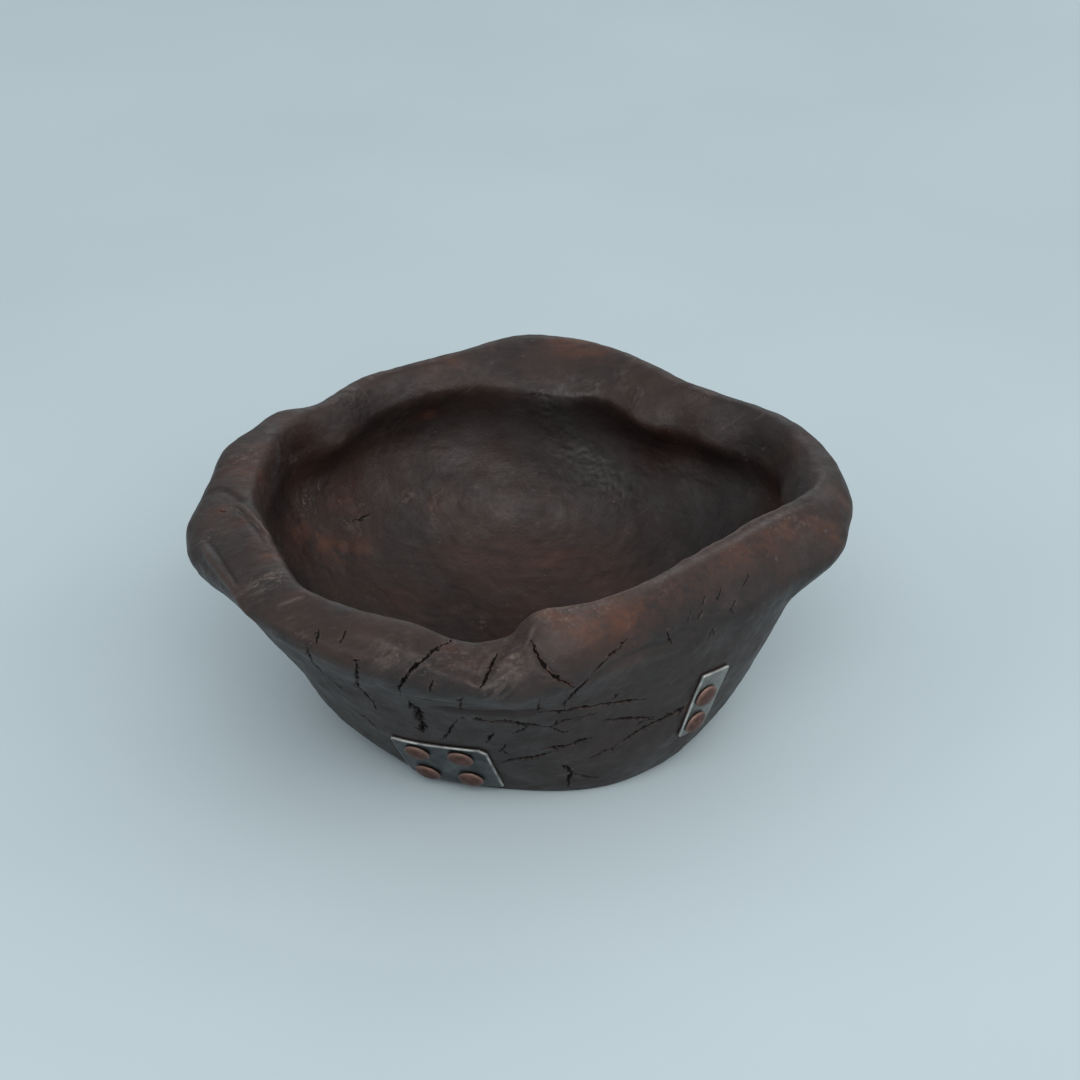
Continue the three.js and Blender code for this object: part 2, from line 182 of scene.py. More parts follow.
RIDGE = [
    (0, 9, -17), (8, 9.8, -12.5), (16, 9.2, -10.7), (25, 5.2, -8.5), (33, -1, -7.5),
    (42, -9.2, -5.3), (52, -12.5, -3.1), (63, -7.5, -1.8), (73, -1.5, -0.8), (83, 3, 0.2),
    (94, 4.5, 0.2), (104, -1.5, -1.5), (117, -3.5, -3.5), (131, 0, -5.5), (141, -2.5, -6.4),
    (147, -0.5, -7.8), (152, 7, -6.9), (160, 10.5, -7.6), (168, 16.4, -9.7), (176, 17, -14),
    (181, 18.5, -16), (186, 21.5, -18), (191, 22, -19.5), (198, 20, -20), (208, 19.5, -21),
    (219, 22.5, -22), (231, 19, -23), (244, 14.5, -24.5), (255, 15, -25.5), (261, 16, -26.5),
    (264, 11, -25.5), (266, 4, -22), (268, -2.5, -18.5), (270, -7, -14.5), (273, -10.5, -11.5),
    (280, -12.5, -12), (288, -16, -12.5), (299, -21.5, -12.5), (310, -25.5, -12.5),
    (319, -27, -12.5), (329, -24.5, -12.5), (337, -21, -12.5), (344, -15, -13), (350, -6, -13.5),
    (355, 3.5, -15.2),
]
CREST = [
    (0, -1, -11.5), (10, 0, -11), (20, -2, -10), (33, -8.5, -6.5), (42, -16.5, -5.2),
    (52, -19.5, -3.3), (63, -14.5, -1.8), (73, -7.5, -0.8), (83, -3.5, 0.2), (94, -2.5, 0.2),
    (104, -8.5, -1.5), (117, -10.5, -3.5), (131, -7.5, -5.5), (141, -10.5, -5.9),
    (152, -6.5, -6.4), (160, -3.5, -7.5), (168, -2.5, -9), (178, -1, -12), (187, -1.5, -13),
    (195, -3, -13), (207, -2.5, -14), (222, 2.5, -15), (232, -2, -17), (245, -6, -18),
    (255, -2, -19), (262, -3.5, -19), (265, -6.5, -18), (267, -9.5, -15), (269, -11, -12),
    (272, -12.5, -9.5), (276, -14.5, -9.5), (283, -17.5, -10), (293, -23, -10.5),
    (305, -29.5, -10.5), (318, -31.5, -10.5), (330, -29.5, -10.5), (340, -24, -10.5),
    (347, -17, -11), (353, -10, -11.5),
]
MOUTH = [
    (0, -17, -29), (8, -15.6, -28), (13, -12.7, -27), (20, -9.6, -26), (25, -11.9, -25),
    (30, -15.5, -24.5), (34, -22, -24), (39, -26.9, -23), (46, -28.5, -22), (53, -35, -21),
    (59, -36, -19), (65, -31.8, -17), (72, -28, -15), (79, -31, -15), (87, -29.7, -15),
    (97, -24.8, -14), (106, -19.4, -14), (115, -18.9, -14.5), (121, -17.5, -15.5),
    (128, -15.5, -17), (134, -16, -19), (141, -18.4, -21), (147, -18.5, -22.5), (152, -11.5, -23),
    (158, -7, -24), (164, -8, -24.5), (172, -8, -25), (182, -7, -27), (195, -10, -27),
    (207, -9.5, -28), (222, -6, -29), (240, -13, -31), (256, -12, -32), (264, -15, -31),
    (269, -19, -26), (276, -23, -23), (290, -30, -23), (305, -37, -23), (318, -39, -23),
    (330, -37, -24), (345, -27, -28),
]
HOLLOW = [
    (0, -12), (20, -8), (40, -17), (56, -22), (66, -20), (74, -20), (82, -21), (92, -19),
    (102, -14), (112, -11), (130, -10), (143, -10), (158, -5), (180, -7), (200, -6), (225, -5),
    (250, -9), (265, -14), (280, -22), (300, -29), (318, -31), (335, -27),
]

# Fineness of the bowl's grid: columns round the bowl, and rows along each stretch of the section.
COLUMNS = 540
ROWS = [3, 17, 21, 19, 18, 10, 9, 3, 14, 18, 4, 12, 22, 17, 17, 18]
SEAM_ANGLE = 90

# Drying cracks: (pixels, width in mm, depth in mm, rawness of the wood inside).
CRACKS = [
    ([(452, 640), (440, 646), (433, 651), (425, 658), (412, 669), (402, 681), (399, 690),
      (402, 696)], 1.1, 2.4, 0),
    ([(409, 701), (412, 706), (417, 709), (419, 716), (422, 723), (421, 730),
      (424, 734)], 2.8, 3.2, 0),
    ([(413, 712), (418, 711), (424, 714)], 1.8, 1.8, 0),
    ([(417, 722), (424, 724), (427, 729)], 1.4, 1.6, 0),
    ([(357, 662), (356, 675), (358, 687), (365, 693), (373, 702), (375, 709)], 0.9, 1.5, 0),
    ([(319, 629), (317, 636), (316, 644)], 0.6, 0.8, 0),
    ([(346, 631), (343, 637), (340, 643)], 0.6, 0.8, 0),
    ([(306, 646), (312, 662), (325, 675), (335, 683), (345, 693)], 0.7, 1.2, 0),
    ([(354, 710), (367, 719), (379, 730)], 1.0, 1.2, 0),
    ([(433, 681), (430, 686), (429, 692)], 0.6, 0.8, 0),
    ([(498, 654), (493, 663), (489, 672), (485, 679), (480, 688)], 0.9, 1.6, 0.2),
    ([(462, 697), (460, 703), (461, 710)], 0.8, 1.0, 0.3),
    ([(457, 719), (452, 727), (449, 733), (441, 740)], 0.8, 1.0, 0),
    ([(459, 717), (479, 720), (492, 722), (504, 721), (520, 724), (533, 725),
      (550, 727)], 1.5, 2.2, 0),
    ([(550, 727), (558, 724), (567, 720), (580, 717)], 0.8, 1.1, 0),
    ([(550, 727), (559, 731), (567, 733)], 0.7, 1.0, 0),
    ([(531, 640), (535, 650), (542, 662), (550, 673), (562, 681), (575, 688)], 0.8, 1.3, 0.9),
    ([(627, 640), (618, 650), (608, 658), (592, 675), (577, 690), (570, 698),
      (562, 705)], 0.9, 1.8, 0),
    ([(540, 713), (552, 711), (567, 711), (579, 708), (592, 707), (604, 704), (617, 703),
      (646, 699)], 1.3, 1.9, 0),
    ([(575, 721), (583, 717), (592, 715), (598, 712)], 0.7, 1.0, 0),
    ([(602, 720), (614, 720), (625, 719), (640, 718), (654, 717)], 1.2, 1.5, 0.2),
    ([(692, 703), (687, 707), (677, 712), (667, 717), (650, 725), (641, 730), (633, 735),
      (617, 745)], 1.9, 2.6, 0.15),
    ([(617, 745), (608, 750), (600, 754), (587, 759)], 0.8, 1.2, 0),
    ([(501, 762), (512, 760), (525, 758), (534, 757), (542, 755), (550, 751)], 1.4, 2.0, 0),
    ([(541, 749), (550, 748), (560, 747), (571, 745), (580, 741), (592, 738)], 1.5, 2.0, 0),
    ([(561, 765), (567, 767), (571, 772), (569, 779), (567, 787)], 1.3, 1.8, 0),
    ([(570, 773), (579, 775), (588, 777), (600, 777)], 0.8, 1.2, 0),
    ([(487, 742), (490, 737), (495, 733)], 1.1, 1.2, 0),
    ([(512, 734), (520, 731), (528, 726)], 0.8, 1.2, 0),
    ([(538, 711), (539, 705), (540, 698)], 0.7, 1.0, 0),
    ([(667, 631), (669, 637), (671, 644)], 0.6, 0.9, 0),
    ([(505, 744), (503, 750), (506, 754)], 0.6, 0.8, 0),
    ([(634, 727), (646, 721), (655, 719)], 0.7, 1.0, 0.2),
    ([(604, 704), (612, 700), (619, 694)], 0.5, 0.8, 0),
    ([(352, 660), (357, 662), (359, 668)], 0.5, 0.7, 0),
    ([(273, 536), (280, 550), (288, 568)], 0.7, 0.8, 0),
    ([(216, 509), (221, 511), (227, 511)], 0.6, 0.7, 0.8),
    ([(352, 521), (360, 519), (370, 514)], 0.5, 0.7, 0),
    ([(318, 404), (322, 398), (328, 393)], 0.5, 0.7, 0),
    ([(196, 480), (204, 470), (212, 456)], 0.5, 0.6, 0.2),
    ([(691, 611), (689, 617), (688, 621)], 0.22, 0.35, 0),
    ([(702, 610), (700, 616), (698, 620)], 0.22, 0.35, 0),
    ([(706, 596), (704, 601), (703, 605)], 0.22, 0.35, 0),
    ([(721, 589), (719, 595), (717, 599)], 0.22, 0.35, 0),
    ([(713, 628), (710, 634), (708, 639)], 0.22, 0.35, 0),
    ([(735, 600), (732, 607), (730, 612)], 0.22, 0.35, 0),
    ([(748, 574), (746, 580), (744, 585)], 0.22, 0.35, 0),
]
SPUR_SHARE = 0.5
SPUR_LONG = 5
SPUR_TURN, SPUR_TURN_RANGE = 14, 24  # degrees

# Scratches that show light: (pixels, width in mm, depth in mm).
SCRATCHES = [
    ([(352, 525), (362, 520), (373, 516)], 0.6, 0.3),
    ([(332, 507), (336, 503), (341, 499)], 0.5, 0.25),
    ([(230, 503), (240, 511), (250, 519), (262, 531)], 0.6, 0.25),
    ([(224, 505), (232, 507), (240, 512)], 0.5, 0.2),
    ([(254, 588), (264, 583), (273, 578), (281, 573)], 0.5, 0.2),
    ([(258, 592), (268, 587), (277, 582)], 0.5, 0.2),
    ([(275, 608), (285, 603), (296, 599), (308, 595)], 0.35, 0.15),
    ([(320, 478), (318, 486), (321, 494)], 0.5, 0.2),
    ([(302, 496), (304, 503), (303, 509)], 0.5, 0.2),
    ([(430, 500), (438, 493), (446, 488)], 0.3, 0.15),
]

# Folds and creases: (pixels, reach in mm, rise in mm; below nought it is a valley).
FOLDS = [
    ([(506, 641), (497, 645), (488, 650), (480, 657), (476, 663), (473, 676),
      (479, 687)], 1.8, -0.9),
    ([(524, 624), (514, 634), (507, 644), (500, 654), (492, 664), (484, 676),
      (478, 688)], 3.6, -2.2),
    ([(541, 616), (533, 629), (528, 642), (518, 654), (506, 663), (494, 672),
      (487, 682)], 2.2, 1.5),
    ([(532, 676), (515, 680), (498, 686)], 6.5, 1.2),
    ([(452, 652), (462, 660), (468, 670)], 6.0, 0.7),
    ([(531, 638), (536, 652), (545, 668), (561, 681), (574, 687)], 1.6, -0.7),
    ([(245, 505), (234, 496), (225, 490), (218, 490), (211, 493), (204, 498)], 1.7, -1.2),
    ([(229, 503), (242, 506), (254, 518), (263, 530), (277, 545), (287, 567)], 1.5, 1.1),
    ([(234, 509), (246, 516), (256, 530), (266, 546)], 1.5, -0.7),
    ([(199, 540), (211, 560), (229, 584), (245, 608), (264, 630), (290, 655)], 1.7, 1.4),
    ([(206, 538), (216, 552), (228, 570), (240, 590)], 1.3, -1.1),
    ([(275, 608), (293, 601), (311, 596)], 1.6, -0.9),
    ([(370, 640), (400, 655), (440, 672)], 2.0, 0.9),
    ([(401, 694), (428, 699), (460, 703), (500, 705), (530, 704), (548, 698)], 1.7, 0.9),
    ([(428, 706), (460, 711), (500, 713), (532, 713), (552, 708)], 1.9, -1.8),
    ([(552, 708), (566, 701), (578, 690), (592, 679), (612, 666), (642, 651),
      (678, 638)], 2.0, -1.1),
    ([(633, 597), (667, 577), (697, 563), (733, 545), (760, 530), (787, 515),
      (806, 507)], 1.7, 0.6),
    ([(562, 712), (590, 690), (616, 673), (646, 659), (682, 645)], 2.4, 0.7),
    ([(279, 438), (279, 455), (278, 473)], 2.0, 0.8),
]

# Crinkled, leathery zones: (pixels along the middle, reach in mm, height in mm).
CRINKLES = [
    ([(553, 382), (575, 384), (598, 384)], 7, 0.85),
    ([(618, 378), (630, 384), (640, 394)], 6, 0.9),
    ([(545, 402), (556, 430), (572, 450), (590, 462), (608, 480), (622, 492)], 9, 0.8),
    ([(650, 462), (675, 465), (700, 468)], 8, 0.35),
    ([(440, 470), (450, 490), (436, 508)], 9, 0.3),
    ([(340, 405), (352, 398), (366, 394)], 7, 0.3),
    ([(235, 520), (262, 545), (285, 575)], 7, 0.3),
    ([(395, 640), (430, 655), (455, 660)], 7, 0.25),
    ([(820, 500), (828, 480), (815, 465)], 8, 0.3),
]

# Where the stain is rubbed through to red-brown wood: (pixel, reach in mm, strength).
WEAR = [
    ((552, 612), 7, 0.7), ((575, 622), 9, 0.8), ((598, 622), 9, 1.0), ((622, 616), 9, 1.0),
    ((646, 606), 9, 0.8), ((676, 590), 8, 0.5), ((700, 574), 8, 0.6), ((722, 560), 8, 0.8),
    ((744, 549), 8, 0.9), ((766, 540), 7, 1.0), ((788, 526), 7, 0.9), ((812, 520), 7, 0.5),
    ((832, 536), 9, 0.7), ((842, 500), 8, 0.6), ((575, 343), 9, 1.0), ((600, 348), 7, 0.7),
    ((552, 344), 7, 0.4), ((640, 360), 6, 0.3), ((450, 362), 7, 0.6), ((430, 372), 7, 0.4),
    ((345, 386), 7, 0.5), ((320, 402), 6, 0.5), ((270, 556), 5, 1.2), ((262, 540), 6, 0.6),
    ((244, 522), 6, 0.5), ((220, 512), 5, 0.7), ((252, 470), 9, 0.8), ((264, 448), 7, 0.5),
    ((240, 488), 7, 0.5), ((228, 470), 6, 0.3), ((300, 530), 8, 0.9), ((318, 540), 7, 0.7),
    ((336, 552), 8, 1.0), ((362, 546), 8, 0.7), ((350, 498), 8, 0.8), ((328, 502), 6, 0.5),
    ((428, 414), 4, 1.3), ((446, 496), 6, 0.5), ((434, 508), 5, 0.5), ((470, 545), 14, 0.4),
    ((520, 560), 16, 0.5), ((560, 560), 12, 0.5), ((605, 575), 12, 0.5), ((400, 600), 10, 0.3),
    ((452, 652), 6, 0.5), ((474, 668), 5, 0.4), ((300, 596), 5, 0.4), ((690, 706), 4, 0.5),
]

# Painted highlights along the lip's crests and edges, where light catches them: (pixels, half width
# in mm, strength).
CREST_HIGHLIGHTS = [
    ([(617, 600), (658, 580), (698, 559), (733, 541), (763, 524), (787, 511),
      (812, 503)], 1.7, 0.9),
    ([(556, 613), (585, 608), (617, 600)], 1.2, 0.7),
    ([(812, 503), (828, 492), (834, 478)], 3.0, 0.6),
    ([(345, 632), (388, 644), (430, 662)], 2.2, 0.35),
    ([(543, 615), (534, 628), (527, 642)], 1.2, 0.5),
    ([(560, 712), (590, 688), (620, 668), (655, 655)], 2.6, 0.35),
    ([(229, 503), (242, 506), (254, 518), (263, 530)], 0.9, 0.6),
    ([(276, 608), (293, 601), (311, 596)], 1.2, 0.5),
    ([(208, 496), (217, 492), (226, 490)], 1.0, 0.6),
    ([(480, 340), (510, 338), (530, 346)], 2.0, 0.3),
]

# Painted sheen: lighter, greyer zones painted on the back of the hollow where light falls there:
# (pixel, reach in mm, strength).
PAINTED_SHEEN = [
    ((470, 420), 13, 0.45), ((520, 412), 13, 0.75), ((560, 415), 12, 0.85), ((545, 450), 15, 0.75),
    ((598, 440), 11, 0.75), ((590, 472), 15, 0.75), ((632, 480), 13, 0.75), ((662, 500), 12, 0.6),
    ((702, 505), 12, 0.5), ((730, 474), 9, 0.45), ((560, 398), 7, 0.6), ((742, 498), 9, 0.5),
    ((690, 470), 10, 0.45), ((455, 455), 10, 0.3), ((432, 426), 9, 0.45), ((478, 428), 10, 0.5),
    ((520, 430), 10, 0.5), ((560, 432), 10, 0.5),
]

# Clusters of light flecks where the wood is chipped, and light streaks painted as highlights on the
# knife facets: (pixel, reach in mm, strength).
CHIPS_AND_HIGHLIGHT_STREAKS = [
    ((246, 456), 6, 1.0), ((303, 500), 6, 1.0), ((262, 584), 6, 1.1), ((277, 577), 6, 1.1),
    ((214, 535), 7, 0.7), ((232, 466), 6, 0.6), ((291, 457), 4, 0.9), ((352, 522), 6, 0.6),
    ((216, 505), 5, 0.5), ((560, 612), 8, 0.9), ((600, 603), 8, 0.5), ((462, 652), 9, 0.7),
    ((660, 580), 8, 0.5), ((408, 498), 4, 1.0), ((480, 624), 4, 0.8), ((352, 388), 7, 0.6),
    ((330, 398), 6, 0.5), ((480, 338), 7, 0.4), ((700, 400), 7, 0.4), ((728, 426), 5, 0.5),
    ((640, 352), 7, 0.4), ((372, 702), 6, 0.7), ((425, 700), 6, 0.5), ((300, 640), 6, 0.5),
    ((800, 520), 8, 0.5), ((770, 520), 8, 0.5), ((236, 600), 7, 0.5), ((690, 700), 6, 0.7),
    ((512, 662), 7, 0.9), ((498, 690), 7, 0.7), ((388, 652), 8, 0.7), ((424, 668), 6, 0.5),
    ((548, 700), 8, 0.5), ((440, 700), 7, 0.4), ((620, 690), 9, 0.4),
]

# Broad swells and scoops on the lip: (pixel, reach in mm, rise in mm).
LUMPS = [
    ((462, 654), 11, -1.6), ((515, 684), 9, 1.3), ((548, 640), 7, -0.5),
]

# How the marks are thrown, blended and carved. Lengths are in mm unless they say otherwise.
TINY = 1e-6
FAR_AWAY = 1e6
HASH_PRIMES = np.array((73856093, 19349663, 83492791))
HASH_SEED = 2654435
HASH_SPREAD = 1274126177
HASH_MASK = 0xFFFFF
NEXT_SEED = 17
MOST_PIXELS_OFF = 30
TRAIL_STEP = 0.4  # pixels
LONGEST_LEAP = 0.012  # metres
SHORT_TRAIL = 90  # points
TAPER_SHORT, TAPER_LONG = 3, 6
CELL_STRIDES = np.array((1, 4096, 4096 * 4096))
JAG_LONG, JAG_SEED = 2.2, 101
FOLD_FADE = 4
FOOT_PLAIN = 4
UNDER_PATCH_DROP = 0.05
PUCKER_BEND, PUCKER_BEND_LONG = 1.6, 4
PUCKER_BEND_SEEDS = (311, 313, 317)
PUCKER_FADE = 2.5
CRACK_LEAST_HALF = 0.20
CHIP_AWAY, CHIP_WIDE, CHIP_DEPTH = 0.45, 0.4, 0.22
CURVATURE_BLURS = 3
FLAT_ENOUGH, BULGE_RANGE = 0.10, 0.35  # per mm
BOX_INSET = 0.00002  # metres

# Tool marks all over the wood: (height, stretch, length, seed, whether it is creased).
TOOL_MARKS_LIFT = 0.25
TOOL_MARKS = [
    (0.55, (1, 1, 1), 30, 11, False),
    (-0.8, (1, 1, 0.7), 16, 23, True),
    (-0.35, (0.6, 1, 1.3), 7, 53, True),
    (0.10, (0.5, 1, 1), 4, 37, False),
]

# The floor, the world and the lights: (name, place, aim, size, watts, colour, lights matt looks).
FLOOR_HALF = 14
WORLD_COLOUR, WORLD_STRENGTH = (0.94, 0.975, 1.0), 0.50
LIGHTS = [
    ("key", (1.2, -2.0, 2.1), (0, -0.1, 0), (2.8, 2.0), 30, (1.0, 0.98, 0.95), True),
    ("fill", (-0.2, -2.5, 2.5), (0, -0.1, 0), (2.4, 2.0), 40, (0.97, 0.985, 1.0), True),
    ("left", (-2.2, -1.0, 1.8), (0, 0, 0), (2.0, 1.6), 6, (0.96, 0.98, 1.0), True),
    ("right", (2.5, -0.5, 1.5), (0, 0, 0), (2.0, 1.6), 9, (1.0, 0.98, 0.95), True),
    ("back", (0.7, 2.4, 2.0), (0, 0, 0), (2.4, 1.6), 10, (0.94, 0.98, 1.0), True),
    ("sheen", (0.2, 2.8, 1.9), (0, 0, 0.1), (4.0, 1.8), 11, (0.90, 0.95, 1.0), False),
]


def ray_through(pixel):
    """Direction of the camera's ray through a pixel of the photograph."""
    x, y = pixel
    right = Vector((1, 0, 0))
    ahead = Vector((0, math.cos(CAMERA_DOWN), -math.sin(CAMERA_DOWN)))
    down = Vector((0, -math.sin(CAMERA_DOWN), -math.cos(CAMERA_DOWN)))
    half = PHOTO_SIDE / 2
    return (ahead * CAMERA_FOCUS + right * (x - half) + down * (y - half)).normalized()


def read_outline(outline, column, angle):
    """One column of an outline at each angle, as a cubic through the stations all the way round."""
    count = len(outline)
    stations = np.array([s[0] for s in outline], float)
    values = np.array([s[column] for s in outline], float)
    wrapped = np.asarray(angle, float) % 360
    start = (np.searchsorted(stations, wrapped, side="right") - 1) % count
    wrapped = np.where(wrapped < stations[0], wrapped + 360, wrapped)
    at = lambda i: stations[i % count] + 360 * (i // count)
    value = lambda i: values[i % count]
    slope = lambda i: (value(i + 1) - value(i)) / (at(i + 1) - at(i))

    def tangent(i):
        before, after = at(i) - at(i - 1), at(i + 1) - at(i)
        return (slope(i - 1) * after + slope(i) * before) / (before + after)

    width = at(start + 1) - at(start)
    t = (wrapped - at(start)) / width
    rise = value(start + 1) - value(start)
    a = tangent(start) * width - rise
    b = rise - tangent(start + 1) * width
    return value(start) + t * rise + t * (1 - t) * (a * (1 - t) + b * t)


def towards(point, other, distance):
    way = other - point
    return point + way * (distance / np.linalg.norm(way, axis=1, keepdims=True))


def section_points(angle):
    """The points that each angle's section passes through, as (angle, point, radius or height)."""

    def wall(outline, radius, height):
        out = read_outline(outline, 1, angle)
        return np.stack([radius + out, np.full_like(out, float(height))], -1)

    def lip(outline):
        out, up = read_outline(outline, 1, angle), read_outline(outline, 2, angle)
        return np.stack([RIM_RADIUS + out, RIM_HEIGHT + up], -1)

    def moved(points, out, height):
        return np.stack([points[:, 0] + out, np.full(len(points), float(height))], -1)

    foot = wall(FOOT, FOOT_RADIUS, FOOT_ROUND)
    low = wall(WALL_LOW, WALL_LOW_RADIUS, WALL_LOW_HEIGHT)
    mid = wall(WALL_MID, WALL_MID_RADIUS, WALL_MID_HEIGHT)
    under, ridge, crest, mouth = lip(LIP_UNDER), lip(RIDGE), lip(CREST), lip(MOUTH)
    hollow = wall(HOLLOW, RIM_RADIUS, RIM_HEIGHT - HOLLOW_DROP)
    side = (under + ridge) / 2
    side[:, 0] += read_outline(LIP_SIDE_BULGE, 1, angle)
    centre = np.zeros((len(angle), 2))
    return np.stack([
        moved(foot, -FOOT_ROUND, 0),
        foot,
        low,
        mid,
        wall(NECK, RIM_RADIUS, RIM_HEIGHT - NECK_DROP),
        under,
        side,
        towards(ridge, side, RIDGE_ROUND),
        towards(ridge, crest, RIDGE_ROUND),
        crest,
        towards(mouth, crest, MOUTH_ROUND),
        towards(mouth, hollow, MOUTH_ROUND),
        hollow,
        moved(mid, -WALL_THICKNESS, WALL_MID_HEIGHT),
        moved(low, -BASE_THICKNESS, COVE_HEIGHT),
        moved(centre, FLOOR_RADIUS, FLOOR_THICKNESS + FLOOR_RISE),
        moved(centre, 0, FLOOR_THICKNESS),
    ], 1)


def section_curve(points, rows):
    """Centripetal Catmull-Rom curve through the points, as (angle, row, radius or height)."""
    first = 2 * points[:, :1] - points[:, 1:2]
    last = 2 * points[:, -1:] - points[:, -2:-1]
    chain = np.concatenate([first, points, last], 1)
    gaps = np.maximum(np.linalg.norm(np.diff(chain, axis=1), axis=2), TINY) ** 0.5
    rings = []
    for span, steps in enumerate(rows):
        p0, p1, p2, p3 = (chain[:, span + k] for k in range(4))
        d0, d1, d2 = (gaps[:, span + k, None] for k in range(3))
        start = ((p1 - p0) / d0 - (p2 - p0) / (d0 + d1) + (p2 - p1) / d1) * d1
        end = ((p2 - p1) / d1 - (p3 - p1) / (d1 + d2) + (p3 - p2) / d2) * d1
        square = -3 * p1 + 3 * p2 - 2 * start - end
        cube = 2 * p1 - 2 * p2 + start + end
        for step in range(steps):
            t = step / steps
            rings.append(p1 + start * t + square * t * t + cube * t * t * t)
    return np.stack(rings, 1)


def value_noise(points, size, seed):
    """Smooth noise from -1 to 1 over points, with features about as long as size."""
    scaled = np.asarray(points, float) / size
    corner = np.floor(scaled).astype(np.int64)
    part = scaled - corner
    ease = part ** 3 * (part * (part * 6 - 15) + 10)
    total = np.zeros(len(scaled))
    for step in product((0, 1), repeat=3):
        mixed = np.bitwise_xor.reduce((corner + step) * HASH_PRIMES, axis=1) ^ seed * HASH_SEED
        mixed = (mixed ^ (mixed >> 13)) * HASH_SPREAD
        mixed = (mixed ^ (mixed >> 16)) & HASH_MASK
        weight = np.where(step, ease, 1 - ease).prod(axis=1)
        total += weight * (mixed / (HASH_MASK // 2) - 1)
    return total


def layered_noise(points, size, seed):
    """Three layers of noise, each half as long and half as strong as the one before."""
    shares = (1, 0.5, 0.25)
    layers = [
        share * value_noise(points, size * share, seed + NEXT_SEED * k)
        for k, share in enumerate(shares)]
    return sum(layers) / sum(shares)


def mesh_object(name, vertices, faces, look):
    mesh = bpy.data.meshes.new(name)
    mesh.from_pydata([tuple(v) for v in vertices], [], [tuple(f) for f in faces])
    mesh.update()
    mesh.shade_smooth()
    mesh.materials.append(look)
    piece = bpy.data.objects.new(name, mesh)
    bpy.context.scene.collection.objects.link(piece)
    return piece


def read_vectors(items, name):
    flat = np.empty(len(items) * 3, np.float32)
    items.foreach_get(name, flat)
    return flat.reshape(-1, 3).astype(float)


def points_of(piece):
    """Where a piece's points are, and which way each faces."""
    mesh = piece.data
    return read_vectors(mesh.vertices, "co"), read_vectors(mesh.vertex_normals, "vector")


def move_points(piece, places):
    flat = np.ascontiguousarray(places, np.float32).ravel()
    piece.data.vertices.foreach_set("co", flat)
    piece.data.update()


def raise_points(piece, rise):
    """Moves each point out, square to the surface, by its rise in mm."""
    places, out = points_of(piece)
    move_points(piece, places + out * rise[:, None] * MM)


def write_layer(piece, name, values):
    layer = piece.data.attributes.new(name, "FLOAT", "POINT")
    layer.data.foreach_set("value", np.ascontiguousarray(values, np.float32))


def loft_bowl(look):
    """The bowl's wall as a closed grid in metres, before any carving."""
    share = 1
    columns = COLUMNS // share
    rows = [max(1, r // share) for r in ROWS]
    angle = SEAM_ANGLE + np.arange(columns) * 360.0 / columns
    rings = section_curve(section_points(angle), rows)
    turn = np.radians(angle)[:, None]
    grid = np.stack([rings[..., 0] * np.cos(turn), rings[..., 0] * np.sin(turn), rings[..., 1]], -1)
    count = grid.shape[1]
    vertices = list(grid.reshape(-1, 3) * MM)
    foot_middle, floor_middle = len(vertices), len(vertices) + 1
    vertices += [(0, 0, 0), (0, 0, FLOOR_THICKNESS * MM)]
    faces = []
    for column in range(columns):
        here, there = column * count, (column + 1) % columns * count
        faces.append((foot_middle, there, here))
        for row in range(count - 1):
            faces.append((here + row, there + row, there + row + 1, here + row + 1))
        faces.append((here + count - 1, there + count - 1, floor_middle))
    return mesh_object("wooden_bowl", vertices, faces, look)


def surface_of(piece):
    return BVHTree.FromObject(piece, bpy.context.evaluated_depsgraph_get())


def seen(surface, pixel):
    """Where the camera's ray through a pixel meets the wood, or None."""
    return surface.ray_cast(CAMERA_PLACE, ray_through(pixel))[0]


def thrown(surface, pixel):
    """The spot on the wood that a pixel shows. A pixel just off the bowl is moved in towards it."""
    spot = np.array(pixel, float)
    for _ in range(MOST_PIXELS_OFF):
        hit = seen(surface, spot)
        if hit is not None and hit.z > MM:
            return np.array(hit)
        spot += (BOWL_PIXEL - spot) / np.linalg.norm(BOWL_PIXEL - spot)
    raise ValueError(f"the pixel {pixel} isn't on the bowl")


def trail(surface, pixels):
    """A line of pixels as points on the wood, closely spaced."""
    pixels = np.array(pixels, float)
    points = []
    for a, b in zip(pixels[:-1], pixels[1:]):
        count = max(2, int(np.linalg.norm(b - a) / TRAIL_STEP))
        for k in range(count):
            hit = seen(surface, a + (b - a) * k / count)
            if hit is not None and (not points or (hit - points[-1]).length < LONGEST_LEAP):
                points.append(hit)
    return points


class Lines:
    """Lines on the wood that can be asked how near a point is, and what the nearest line is like.

    A line is (pixels, traits...). It tapers at both ends, which its first trait says, from 0 to 1.
    """

    def __init__(self, surface, lines, within, jag=0.0):
        places, traits = [], []
        for pixels, *given in lines:
            points = trail(surface, pixels)
            taper = TAPER_SHORT if len(points) < SHORT_TRAIL else TAPER_LONG
            for k, point in enumerate(points):
                along = k / max(1, len(points) - 1)
                places.append(point)
                traits.append([min(1.0, taper * along, taper * (1 - along)), *given])
        self.traits = np.array(traits)
        self.tree = KDTree(len(places))
        for index, point in enumerate(places):
            self.tree.insert(point, index)
        self.tree.balance()
        self.jag = jag
        self.cell = (within + 2 * jag) * MM
        cells = np.floor(np.array(places) / self.cell).astype(np.int64)
        steps = np.array(list(product((-1, 0, 1), repeat=3)))
        self.cells = np.unique((cells[:, None] + steps).reshape(-1, 3) @ CELL_STRIDES)

    def nearest(self, points, out):
        """Distance in mm from each point to the nearest line, and that line's traits there."""
        cells = np.floor(points / self.cell).astype(np.int64) @ CELL_STRIDES
        near = np.flatnonzero(np.isin(cells, self.cells))
        asked = points[near]
        if self.jag:
            shift = [layered_noise(asked / MM, JAG_LONG, JAG_SEED + axis) for axis in range(3)]
            shift = self.jag * MM * np.stack(shift, -1)
            shift -= out[near] * (shift * out[near]).sum(1, keepdims=True)
            asked = asked + shift
        distance = np.full(len(points), FAR_AWAY)
        index = np.zeros(len(points), int)
        for k, point in zip(near, asked):
            _, index[k], gap = self.tree.find(point)
            distance[k] = gap / MM
        return distance, self.traits[index]


